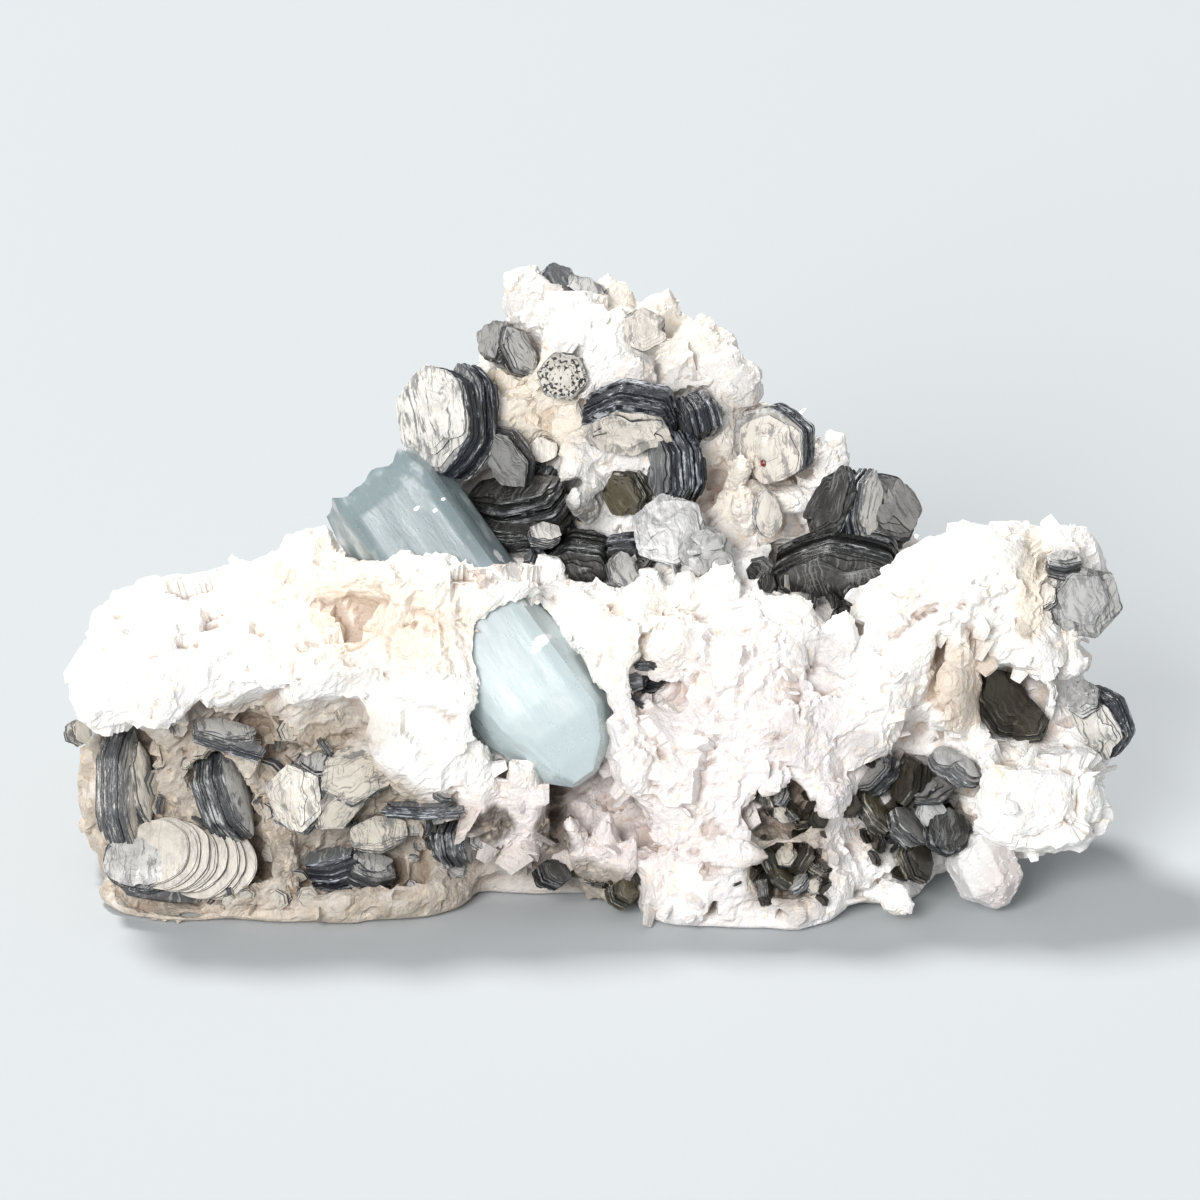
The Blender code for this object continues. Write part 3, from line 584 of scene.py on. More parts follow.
albiteFinish = {
    "white": (0.92, 0.905, 0.89),
    "cream": (0.88, 0.79, 0.67),
    "speck": (0.85, 0.71, 0.55),
    # painted shade: the colour is darkened towards this in the deepest hollows
    "hollow": (0.66, 0.59, 0.55),    # how much of the colour is left in the deepest hollows
    # name: middle (across, up, out), half sizes, softness, colour, how much of it shows
    "stains": {
        "dusty recess": ((-59.0, 18.0, -24.0), (42.0, 29.0, 60.0), 0.09, (0.45, 0.385, 0.315), 1.0),
        "beige ledge": ((-52.0, 3.0, -20.0), (42.0, 9.0, 50.0), 0.15, (0.60, 0.52, 0.435), 0.9),
        # painted shade: a dark band under the crust's overhanging lip
        "painted shade under the crust": ((-51.0, 37.5, -2.0), (19.0, 5.5, 16.0), 0.35, (0.34, 0.28, 0.22), 0.85),
        "dirt at the left": ((-74.0, 26.0, -4.0), (12.0, 8.0, 14.0), 0.35, (0.38, 0.33, 0.28), 0.8),
        "dirt below the slab": ((-42.0, 14.0, -4.0), (12.0, 5.0, 14.0), 0.35, (0.32, 0.28, 0.24), 0.85),
        "cream crust": ((-38.0, 55.0, 0.0), (22.0, 9.0, 18.0), 0.5, (0.84, 0.70, 0.54), 0.6),
        "warm peak": ((5.0, 97.0, -14.0), (34.0, 18.0, 30.0), 0.30, (0.70, 0.67, 0.64), 0.85),
        "bright front of the peak": ((-3.0, 98.6, -10.0), (6.5, 9.5, 9.0), 0.25, (0.92, 0.905, 0.89), 0.9),
        "grey prism": ((31.7, 34.8, 4.0), (2.4, 4.8, 6.0), 0.15, (0.52, 0.50, 0.50), 0.85),
        # painted shade in the gap between the two ridges of the middle
        "painted shade in the gap": ((37.0, 48.5, 0.0), (4.0, 4.5, 6.0), 0.30, (0.55, 0.54, 0.53), 0.6),
        "grey above the lower cluster": ((44.0, 32.5, 0.0), (3.6, 3.2, 6.0), 0.30, (0.34, 0.33, 0.31), 0.8),
        "warm arm": ((70.0, 62.0, -8.0), (20.0, 16.0, 24.0), 0.35, (0.86, 0.82, 0.78), 0.5),
        "tan back": ((-20.0, 38.0, -62.0), (50.0, 22.0, 22.0), 0.45, (0.76, 0.68, 0.58), 0.6),
        "grey back": ((48.0, 40.0, -52.0), (30.0, 22.0, 20.0), 0.45, (0.72, 0.69, 0.66), 0.5),
        "mauve middle": ((22.0, 27.0, 0.0), (26.0, 25.0, 30.0), 0.35, (0.74, 0.675, 0.67), 0.6),
        "pink foot": ((-8.0, 17.0, -2.0), (18.0, 12.0, 22.0), 0.30, (0.70, 0.615, 0.595), 0.7),
        "tan among the books": ((-12.0, 88.0, -12.0), (10.0, 9.0, 12.0), 0.25, (0.84, 0.74, 0.60), 0.7),
        "tan by the round book": ((25.0, 76.0, -14.0), (9.0, 9.0, 12.0), 0.30, (0.84, 0.74, 0.63), 0.6),
        "cream petals": ((10.0, 104.0, -18.0), (14.0, 7.0, 12.0), 0.25, (0.90, 0.83, 0.73), 0.6),
        "tan strip": ((72.0, 58.0, -4.0), (3.2, 8.5, 14.0), 0.20, (0.80, 0.70, 0.57), 0.8),
        # the steps' tan is partly real colour and partly painted shade in their recess
        "beige and painted shade of the steps": ((60.0, 42.0, 0.0), (5.5, 9.0, 9.0), 0.20, (0.68, 0.57, 0.46), 0.9),
        "cream blocks": ((7.0, 50.0, 2.0), (9.0, 8.0, 10.0), 0.30, (0.89, 0.82, 0.72), 0.5),
        "brown of the lower pocket": ((31.0, 12.0, 0.0), (7.5, 9.0, 12.0), 0.30, (0.33, 0.28, 0.23), 0.9),
        "brown of the centre pocket": ((31.5, 20.5, 0.0), (6.0, 5.0, 9.0), 0.30, (0.38, 0.33, 0.28), 0.8),
        # painted shade behind the books of the lower cluster
        "painted shade of the lower cluster": ((52.0, 21.0, -4.0), (9.0, 11.0, 9.0), 0.20, (0.30, 0.29, 0.27), 0.8),
        # painted shade in the valley among the dark books
        "painted shade of the valley": ((-12.0, 70.0, -12.0), (13.0, 10.0, 9.0), 0.20, (0.22, 0.21, 0.20), 0.9),
        "shadow of the right books": ((38.0, 60.0, -8.0), (11.0, 8.0, 8.0), 0.20, (0.22, 0.21, 0.20), 0.8),
        "dirty base": ((-10.0, 6.0, -2.0), (17.0, 6.0, 20.0), 0.35, (0.44, 0.38, 0.33), 0.85),
        # painted shade: the dark voids at the foot are painted on, not cut
        "painted shade of the left foot hole": ((-17.6, 18.4, -2.0), (4.0, 3.4, 13.0), 0.25, (0.11, 0.085, 0.07), 0.95),
        "painted shade of the right foot hole": ((-8.0, 19.5, -8.0), (3.6, 4.6, 15.0), 0.25, (0.13, 0.10, 0.08), 0.95),
        "brown foot": ((-3.0, 5.0, -2.0), (10.0, 6.0, 12.0), 0.25, (0.30, 0.26, 0.22), 0.8),
    },
}


def makeAlbiteFinish():
    material, tree = newFinish("albiteFinish")
    position = objectPlace(tree)
    mottle = noiseAt(position, 2.4, 2.0, 0.7)
    colour = attribute(tree, "stain", "Color")
    colour = mixColour(ramp(mottle, 0.52, 0.72, 0.0, 0.5), colour, albiteFinish["speck"])
    depth = attribute(tree, "depth") + (mottle - 0.5) * 0.5
    # painted shade: the deeper a point lies in a hollow, the darker its colour
    colour = mixColour(ramp(depth, 0.25, 1.1, 0.0, 0.9), colour, colour * albiteFinish["hollow"])
    grain = bump(noiseAt(position, 1.0, 2.0, 0.75), 0.6, 0.7)
    paint(tree, {"Base Color": colour, "Roughness": 0.5, "Normal": grain})
    return material


# name: piece, material, middle of the zone (across, up, out), half sizes, pieces in a square centimetre,
# smallest and largest size in mm, how far they lean over in degrees, share of the piece in the rock, seed
scatters = {
    "crustBlades": ("blade", "albite", (-45, 55, 0), (50, 22, 40), 1.0, 0.8, 1.6, 20, 0.7, 1),
    "peakBlades": ("blade", "albite", (3, 90, -15), (36, 26, 30), 1.2, 1.2, 2.4, 30, 0.7, 2),
    "middleBlades": ("blade", "albite", (22, 32, 0), (32, 34, 30), 1.1, 1.6, 3.8, 35, 0.65, 3),
    "rightBlades": ("blade", "albite", (70, 42, -5), (24, 32, 30), 1.2, 1.6, 3.8, 30, 0.65, 4),
    "footBlades": ("blade", "albite", (-12, 22, 0), (17, 14, 16), 2.2, 2.4, 5.0, 22, 0.5, 5),
    "dustyBlades": ("blade", "albite", (-60, 18, -4), (34, 22, 30), 1.5, 1.0, 2.6, 35, 0.6, 6),
    "backBlades": ("blade", "albite", (0, 50, -60), (95, 60, 40), 1.6, 1.2, 2.4, 20, 0.78, 7),
    "valleyFlakes": ("flake", "slate", (-14, 70, -9), (12, 11, 9), 12, 2.2, 5.5, 50, 0.4, 8),
    "rightValleyFlakes": ("flake", "black", (38, 60, -5), (12, 8, 8), 10, 2.0, 4.6, 50, 0.4, 9),
    "lowerRightFlakes": ("flake", "umber", (51, 21, 0), (10, 12, 9), 12, 2.2, 5.0, 50, 0.35, 10),
    "lowerRightSilver": ("flake", "grey", (52, 22, 0), (9, 11, 9), 8, 1.8, 4.2, 50, 0.35, 18),
    "centrePocketFlakes": ("flake", "umber", (31, 19, 2), (6, 6, 7), 14, 1.6, 3.6, 50, 0.4, 11),
    "lowerPocketFlakes": ("flake", "umber", (32, 9.5, 2), (9, 5, 7), 14, 1.6, 3.8, 50, 0.4, 12),
    "footFlakes": ("flake", "olive", (-4, 7.5, -2), (12, 6, 8), 14, 1.8, 4.0, 50, 0.4, 13),
    "armFlakes": ("flake", "dusty", (-62, 20, 0), (26, 18, 9), 4, 2.0, 5.0, 60, 0.45, 14),
    "ledgeFlakes": ("flake", "grey", (-29, 16, 0), (11, 9, 7), 12, 2.0, 4.8, 60, 0.4, 15),
    "blockFlakes": ("flake", "slate", (7.8, 42.4, 1), (3.4, 3.4, 6), 14, 3.4, 5.6, 30, 0.35, 16),
    "plateFlakes": ("flake", "grey", (3, 63, -3), (10, 5, 6), 10, 1.8, 4.2, 60, 0.4, 17),
}


def bladePiece(tree):
    # a thin plate of albite on its edge, narrower and chisel-ended above, one unit high
    cone = fromNode(tree, "GeometryNodeMeshCone", {
        "Vertices": 6, "Radius Top": 0.62, "Radius Bottom": 1.0, "Depth": 1.0})
    return transformed(cone, size=(0.62, 0.17, 1.0))


def flakePiece(tree):
    # a few six-sided sheets of mica on edge, each a little smaller, one unit high
    sheets = []
    for level, share, shift in ((-0.10, 0.86, 0.06), (0.0, 1.0, 0.0), (0.11, 0.8, -0.07)):
        sheet = fromNode(tree, "GeometryNodeMeshCylinder", {
            "Vertices": 6, "Radius": 0.5 * share, "Depth": 0.085})
        sheet = store(sheet, "flatSide", facesUp(tree), "FACE")
        sheets.append(transformed(sheet, move=(shift, 0.04, level)))
    kept = store(joined(*sheets), "sheetPlace", positionIn(tree) * 6.0)
    return transformed(kept, turn=(math.pi / 2, 0, 0))


def scatterTree(name, piece):
    tree, given = newTree(name, {
        "Float": ("Density", "Smallest", "Largest", "Lean", "Sunk"), "Int": ("Seed",),
        "Vector": ("Middle", "Half", "Low Corner", "High Corner")})
    position = positionIn(tree)
    spot = position * (1.0 / mm)
    inZone = calc("LESS_THAN", calc("LENGTH", (position - given["Middle"]) / given["Half"]), 1.0)
    # nothing is set so near to the box's sides that it would reach out of it
    for gap in (position - given["Low Corner"], given["High Corner"] - position):
        x, y, z = split(gap)
        inZone *= calc("GREATER_THAN", calc("MINIMUM", calc("MINIMUM", x, y), z), 0.0)
    patches = ramp(noiseAt(spot, 6.0), 0.4, 0.6, 0.25, 1.0)
    spread = addNode(tree, "GeometryNodeDistributePointsOnFaces", {
        "Mesh": given["Geometry"], "Selection": inZone, "Density": patches * given["Density"],
        "Seed": given["Seed"]}).outputs

    # neighbours stand nearly alike, as in a sheaf: they follow a slow noise, and lean a little by chance
    alike = fromNode(tree, "FunctionNodeAlignRotationToVector", {
        "Rotation": Value(spread["Rotation"]), "Vector": drift(spot, 7.0, 1.0)}, axis="X", pivot_axis="Z")
    lean = vectorOf(given["Lean"], given["Lean"], given["Lean"])
    leaning = chance(lean * -1.0, lean, given["Seed"] + 11)
    turned = fromNode(tree, "FunctionNodeRotateRotation", {
        0: alike, 1: fromNode(tree, "FunctionNodeEulerToRotation", {0: leaning})}, rotation_space="LOCAL")
    size = chance(given["Smallest"], given["Largest"], given["Seed"] + 23) * mm
    copies = fromNode(tree, "GeometryNodeInstanceOnPoints", {
        "Points": Value(spread["Points"]), "Rotation": turned, "Scale": vectorOf(size, size, size),
        "Instance": transformed(piece(tree), move=vectorOf(0.0, 0.0, 0.5 - given["Sunk"]))})
    finishTree(copies, given)
    return tree


def makeScatters(rock, finishes):
    trees = {"blade": scatterTree("albiteBlades", bladePiece),
             "flake": scatterTree("micaFlakes", flakePiece)}
    low, high = cadBox
    for name, row in scatters.items():
        piece, finish, middle, half, density, smallest, largest, lean, sunk, seed = row
        made = newObject(name, rock.data.copy())
        margin = Vector((1, 1, 1)) * (largest * (1 - sunk) + 0.1) * mm      # as far as a piece can reach
        useTree(made, trees[piece], {
            "Middle": facePoint(*middle), "Half": halfSizes(*half) * mm, "Density": density * 1e4,
            "Smallest": smallest, "Largest": largest, "Lean": math.radians(lean), "Sunk": sunk,
            "Low Corner": Vector(low) + margin, "High Corner": Vector(high) - margin, "Seed": seed,
            "Finish": finishes[finish]})
        plainMesh(made)
        place(made, "albite" if piece == "blade" else "mica")


# look: colours of its flat faces, of the dark parts of these, of its edges and of the light streaks
# in these, then how much shows of its growth lines, grain, flakes and speckles
micaLooks = {
    "cream": ((0.74, 0.685, 0.61), (0.1, 0.1, 0.105), (0.022, 0.025, 0.032), (0.55, 0.57, 0.6),
              0.9, 0.25, 0.6, 0.0),
    "pearl": ((0.52, 0.515, 0.505), (0.17, 0.17, 0.172), (0.08, 0.085, 0.09), (0.7, 0.71, 0.72),
              1.0, 0.6, 0.6, 0.0),
    "silver": ((0.68, 0.655, 0.61), (0.11, 0.115, 0.12), (0.022, 0.026, 0.034), (0.62, 0.63, 0.64),
               0.4, 0.9, 0.7, 0.0),
    "grey": ((0.5, 0.49, 0.47), (0.09, 0.09, 0.095), (0.035, 0.038, 0.042), (0.58, 0.58, 0.57),
             0.6, 0.8, 0.8, 0.0),
    "steel": ((0.27, 0.265, 0.255), (0.05, 0.05, 0.05), (0.022, 0.023, 0.026), (0.52, 0.52, 0.51),
              0.5, 0.8, 0.5, 0.0),
    "slate": ((0.12, 0.125, 0.13), (0.55, 0.55, 0.55), (0.014, 0.016, 0.022), (0.48, 0.51, 0.55),
              0.4, 0.7, 0.15, 0.0),
    "black": ((0.03, 0.029, 0.026), (0.3, 0.3, 0.3), (0.008, 0.008, 0.008), (0.34, 0.35, 0.36),
              0.5, 0.45, 0.1, 0.0),
    "olive": ((0.085, 0.072, 0.042), (0.3, 0.28, 0.22), (0.024, 0.021, 0.014), (0.46, 0.44, 0.38),
              0.3, 0.4, 0.15, 0.0),
    "umber": ((0.026, 0.021, 0.013), (0.13, 0.115, 0.085), (0.014, 0.012, 0.009), (0.26, 0.235, 0.18),
              0.3, 0.4, 0.15, 0.0),
    "speckled": ((0.7, 0.66, 0.59), (0.03, 0.03, 0.03), (0.12, 0.115, 0.11), (0.55, 0.54, 0.51),
                 0.0, 0.1, 0.2, 1.0),
    "scale": ((0.62, 0.57, 0.5), (0.22, 0.21, 0.2), (0.05, 0.05, 0.055), (0.5, 0.47, 0.42),
              0.2, 0.3, 0.4, 0.0),
    "dusty": ((0.62, 0.57, 0.49), (0.13, 0.13, 0.13), (0.06, 0.062, 0.068), (0.66, 0.63, 0.57),
              0.9, 0.7, 0.8, 0.0),
}

micaSheets = {
    "perMillimetre": 2.8,            # sheets that show in a millimetre of thickness
    "rimPoints": 90,
    "capRings": 9,
    "ragged": 0.75, "step": 1.3, "terrace": 0.6, "wave": 0.4,    # how uneven the sheets are, mm
    "ellipse": 0.93,                 # the size of a wholly rounded book, as a share of the hexagon's
    "sharp": 32,                     # degrees between faces from which an edge stays sharp
}

# mica node: its stacks of sheets, each with its look, centre, facing, turn in degrees,
# width, length and thickness in mm, roundness, and bow in mm
micaBooks = {
    "big_left": [
        ("silver", (-26.0, 85.5, -7.0), (-0.6, 0.15, 0.8), 16, (15, 21, 9), 0.45, 0.6),
        ("slate", (-21.6, 87.5, -8.6), (-0.75, 0.1, 0.66), 12, (9, 17.5, 5), 0.3, 0.4)],
    "centre": [("cream", (5.0, 86.6, -6.4), (-0.15, -0.70, 0.70), 8, (15.8, 12.6, 10), 0.1, -0.3)],
    "round_right": [("cream", (29.0, 82.0, -10.0), (-0.45, -0.2, 0.87), -8, (13.5, 14.5, 6.5), 0.4, 0.5)],
    "right_cluster": [
        ("black", (39.6, 71.3, -8.0), (-0.55, 0.25, 0.75), -18, (8, 15, 6), 0.0, 0.0),
        ("silver", (43.4, 71.5, -7.4), (0.75, 0.0, 0.5), -16, (6, 14, 5), 0.0, 0.2),
        ("steel", (47.0, 70.6, -13.0), (0.55, 0.35, 0.75), 24, (12, 14.5, 8), 0.3, 0.3),
        ("black", (39.6, 60.0, -7.5), (-0.1, -0.62, 0.75), 5, (21, 16, 9), 0.4, 1.2)],
    "upright_dark": [
        ("slate", (13.2, 78.0, -6.5), (0.9, 0.12, -0.4), 5, (9, 13.5, 7.5), 0.1, 0.4),
        ("slate", (15.8, 86.5, -9.5), (0.9, 0.3, -0.3), 12, (8, 9, 7), 0.1, 0.2)],
    "grey_top_left": [
        ("steel", (-16.8, 98.8, -11.8), (-0.5, 0.45, 0.72), 24, (6.5, 9.5, 4.6), 0.1, 0.0),
        ("grey", (-13.9, 97.4, -10.4), (0.5, 0.1, 0.86), 30, (6, 10.5, 3.6), 0.0, 0.0)],
    "speckled": [("speckled", (-6.3, 93.2, -6.5), (0.15, -0.1, 1.0), 20, (8.2, 9.2, 3.5), 0.2, 0.0)],
    "top": [
        ("slate", (-7.4, 108.2, -17.2), (0.6, 0.45, 0.65), 12, (7, 8.5, 5), 0.1, 0.0),
        ("grey", (-2.6, 107.0, -16.8), (0.1, 0.7, 0.7), -24, (8, 6, 5), 0.1, 0.2)],
    "cream_top": [("cream", (7.0, 101.0, -8.0), (0.1, 0.05, 1.0), 0, (8.4, 8.4, 4.4), 0.0, 0.0)],
    "slanted": [("steel", (-15.3, 79.8, -7.5), (-0.45, -0.3, 0.84), 35, (7, 12.5, 4.5), 0.0, 0.0)],
    "valley_left": [
        ("black", (-13.5, 72.0, -11.5), (-0.35, 0.8, 0.5), 0, (18, 12, 8), 0.3, 0.4),
        ("black", (-14.0, 67.0, -9.5), (-0.1, 0.9, 0.4), 0, (13, 9, 4.5), 0.3, 0.4)],
    "black_stack": [("black", (-3.6, 62.5, -8.0), (-0.2, -0.6, 0.75), 10, (11.5, 9, 8), 0.2, 0.5)],
    "dark_bar": [("slate", (4.8, 65.0, -7.0), (0.1, -0.9, 0.4), 0, (8.5, 5, 3.2), 0.1, 0.0)],
    "small_grey_hexagon": [("grey", (3.6, 60.6, -3.0), (0.3, 0.15, 0.9), 12, (5.5, 7, 4), 0.0, 0.0)],
    "small_light_hexagon": [("silver", (-9.4, 66.4, -5.0), (0.2, 0.6, 0.75), 4, (5.6, 4.5, 3), 0.0, 0.0)],
    "olive": [("olive", (4.7, 74.0, -9.8), (-0.55, -0.3, 0.78), 24, (7.6, 9, 5), 0.0, 0.0)],
    "silver_plate": [("pearl", (11.6, 67.5, -4.0), (-0.1, 0.15, 1.0), 12, (12.5, 13.5, 4), 0.15, 0.2)],
    "silver_rosette": [
        ("pearl", (17.5, 63.8, -2.6), (0.15, 0.1, 1.0), -20, (9.5, 10, 4), 0.6, 0.6),
        ("pearl", (19.6, 61.6, -2.2), (0.3, -0.1, 0.95), 15, (5.5, 6, 3), 0.7, 0.4),
        ("pearl", (15.8, 61.2, -2.0), (-0.1, -0.2, 0.97), 40, (5, 5, 2.6), 0.7, 0.4)],
    "cream_disc": [("cream", (27.8, 70.3, -4.6), (0.35, 0.0, 0.93), 0, (5, 9, 2.6), 0.8, 0.2)],
    "beige_disc": [("cream", (-9.7, 80.9, -11.5), (0.0, 0.1, 1.0), 0, (5.4, 5.0, 2.2), 0.4, 0.0)],
    "right_plate": [
        ("grey", (81.0, 55.4, -3.6), (0.25, -0.15, 0.95), 20, (12.4, 13.6, 2.6), 0.0, 0.2),
        ("pearl", (80.2, 56.2, -1.9), (0.25, -0.15, 0.95), 24, (9.4, 10.6, 1.5), 0.0, 0.2)],
    "right_small": [("grey", (77.3, 61.8, -2.0), (0.1, 0.75, 0.6), 0, (6, 4.5, 4), 0.1, 0.0)],
    "right_tiny": [("cream", (74.6, 56.3, -1.0), (-0.3, 0.3, 0.9), 0, (3.6, 4.8, 2.6), 0.1, 0.0)],
    "right_rim": [
        ("silver", (83.9, 35.3, -6.3), (-0.5, -0.3, 0.8), 12, (9.6, 13.5, 6), 0.3, 0.5),
        ("steel", (80.7, 39.3, -3.5), (-0.2, 0.2, 0.95), 0, (6, 7.2, 4), 0.1, 0.0)],
    "in_right_pocket": [
        ("umber", (67.6, 38.6, -6.2), (0.5, 0.25, 0.8), 30, (9, 14.5, 4.5), 0.0, 0.2),
        ("umber", (71.0, 35.6, -6.0), (-0.3, 0.5, 0.8), 44, (7, 10, 4), 0.0, 0.2)],
    "left_fan": [
        ("grey", (-75.5, 12.5, -5.2), (-0.25, 0.3, 0.9), 5, (15, 13, 6), 0.7, 0.8),
        *[("scale", (-74.0 + 1.56 * k, 13.9 - 0.38 * k, -2.3 - 0.42 * k), (-0.35, 0.2, 0.92), 3 * k,
           (11.4 + 0.6 * (k % 3), 12.2 + 0.5 * (3 * k % 4), 0.9), 0.8, 0.3) for k in range(8)],
        ("slate", (-70.0, 8.6, -7.0), (0.1, -0.6, 0.75), 0, (20, 8, 5), 0.5, 0.6),
        ("dusty", (-80.0, 24.5, -4.6), (0.9, 0.0, 0.4), 0, (7.5, 21, 6), 0.2, 0.4),
        ("dusty", (-77.0, 25.5, -4.0), (0.75, 0.1, 0.65), 6, (5, 16, 3), 0.1, 0.4),
        ("grey", (-62.5, 23.0, -3.0), (0.85, 0.25, 0.45), 12, (8, 17, 6.5), 0.2, 0.8)],
    "left_wedge": [
        ("grey", (-62.5, 33.4, 3.2), (0.25, 0.75, 0.6), -14, (11, 6, 3), 0.1, 0.2),
        ("slate", (-60.3, 31.9, 3.2), (0.3, 0.6, 0.7), -32, (10, 4, 2.4), 0.1, 0.2)],
    "left_edge": [("dusty", (-87.0, 33.7, 2.0), (0.6, 0.3, 0.7), 0, (4.5, 5, 3), 0.6, 0.0)],
    "pale_slab": [
        ("dusty", (-40.5, 27.0, 1.0), (0.1, 0.25, 0.96), -62, (10, 15.5, 4), 0.0, 0.2),
        ("dusty", (-43.5, 22.4, 0.6), (0.35, -0.1, 0.93), -40, (7, 13, 4), 0.0, 0.2),
        ("dusty", (-50.3, 22.6, 0.4), (-0.3, 0.05, 0.95), 12, (10, 13, 5), 0.0, 0.2),
        ("grey", (-46.5, 28.0, -0.6), (-0.1, 0.6, 0.8), -20, (9, 6, 4), 0.0, 0.0)],
    "beige_block": [("dusty", (-37.0, 16.6, -2.8), (0.1, 0.3, 0.95), 10, (10, 6.5, 4), 0.3, 0.0)],
    "grey_base": [
        ("slate", (-44.0, 11.2, -4.0), (-0.3, 0.8, 0.5), 15, (10, 7, 6), 0.2, 0.4),
        ("grey", (-38.5, 10.4, -3.6), (0.4, 0.6, 0.6), -10, (9, 7, 5), 0.2, 0.4)],
    "thin_plates": [("slate", (-29.5, 21.0, -0.5), (-0.1, 0.95, 0.3), 0, (15, 5, 2.2), 0.1, 0.3)],
    "small_stack": [("grey", (-24.6, 15.0, -4.5), (0.9, 0.15, 0.4), 0, (6, 8.5, 6), 0.1, 0.0)],
    "foot_left": [("black", (-8.0, 10.0, -4.6), (0.5, 0.5, 0.7), 0, (6, 6, 4), 0.1, 0.0)],
    "foot_right": [("olive", (3.8, 6.8, -5.2), (0.6, 0.4, 0.7), 0, (5.5, 5.5, 4), 0.1, 0.0)],
    "lower_right_cluster": [
        ("umber", (51.8, 25.4, -2.0), (-0.75, 0.3, 0.5), 15, (7, 10, 4), 0.0, 0.2),
        ("steel", (55.0, 24.0, -1.2), (-0.2, 0.75, 0.55), -25, (8, 8, 3), 0.0, 0.2),
        ("black", (57.8, 17.0, -2.5), (0.4, 0.2, 0.9), 0, (8, 9, 4), 0.5, 0.2),
        ("steel", (51.0, 17.5, -2.6), (0.7, 0.5, 0.5), 35, (6, 9, 3.6), 0.0, 0.2),
        ("pearl", (60.6, 27.5, -1.2), (0.5, 0.7, 0.5), 25, (6, 8, 3), 0.7, 0.6),
        ("pearl", (57.8, 29.0, -1.4), (0.2, 0.75, 0.6), 5, (6, 7, 2.6), 0.7, 0.6),
        ("steel", (46.4, 26.5, -2.6), (-0.6, 0.5, 0.5), -30, (5, 9, 3.5), 0.0, 0.2),
        ("umber", (52.8, 12.4, -3.5), (0.7, 0.2, 0.6), 20, (5, 9, 3.6), 0.0, 0.2),
        ("olive", (45.6, 20.4, -3.0), (0.7, 0.5, 0.5), 10, (4.5, 9, 3), 0.0, 0.2),
        ("pearl", (55.0, 20.6, -1.2), (0.3, -0.2, 0.95), 40, (5, 6, 2.4), 0.1, 0.1)],
    "centre_pocket": [
        ("olive", (28.0, 22.6, -0.6), (0.9, 0.3, 0.3), 10, (3.4, 6.5, 2), 0.0, 0.2),
        ("grey", (30.2, 23.4, -0.4), (-0.7, 0.5, 0.5), 35, (3.6, 6, 1.6), 0.0, 0.2),
        ("umber", (32.0, 20.6, -0.6), (0.6, 0.75, 0.3), -35, (4, 7, 1.8), 0.0, 0.2),
        ("umber", (34.4, 19.6, -0.8), (-0.4, 0.85, 0.35), -15, (4.4, 6, 1.8), 0.0, 0.2),
        ("dusty", (30.4, 20.0, 0.4), (0.35, 0.2, 0.9), 50, (2.8, 4, 1.2), 0.0, 0.1),
        ("olive", (36.4, 17.8, -0.8), (0.8, 0.4, 0.4), 20, (3.4, 5.4, 1.8), 0.0, 0.2)],
    "lower_pocket": [
        ("umber", (28.4, 12.4, -1.0), (0.85, 0.4, 0.3), 15, (4, 7.5, 2), 0.0, 0.2),
        ("dusty", (31.0, 13.2, -0.6), (-0.3, 0.5, 0.8), 30, (4, 5, 1.4), 0.0, 0.2),
        ("umber", (33.6, 12.8, -0.8), (-0.8, 0.4, 0.4), -25, (4.4, 7, 2), 0.0, 0.2),
        ("umber", (36.2, 11.6, -1.0), (0.5, 0.8, 0.3), -30, (4, 6.5, 2), 0.0, 0.2),
        ("olive", (30.4, 9.4, -0.4), (0.6, 0.7, 0.35), 40, (4.4, 6.5, 2), 0.0, 0.2),
        ("grey", (33.2, 8.6, -0.2), (-0.5, 0.75, 0.4), 10, (4, 5.5, 1.6), 0.0, 0.2),
        ("umber", (27.6, 7.8, -0.6), (0.9, 0.1, 0.3), 0, (3.4, 6.5, 2), 0.0, 0.2),
        ("dusty", (35.6, 8.0, -0.2), (0.2, 0.2, 0.95), -20, (3, 3.6, 1.2), 0.0, 0.1)],
}


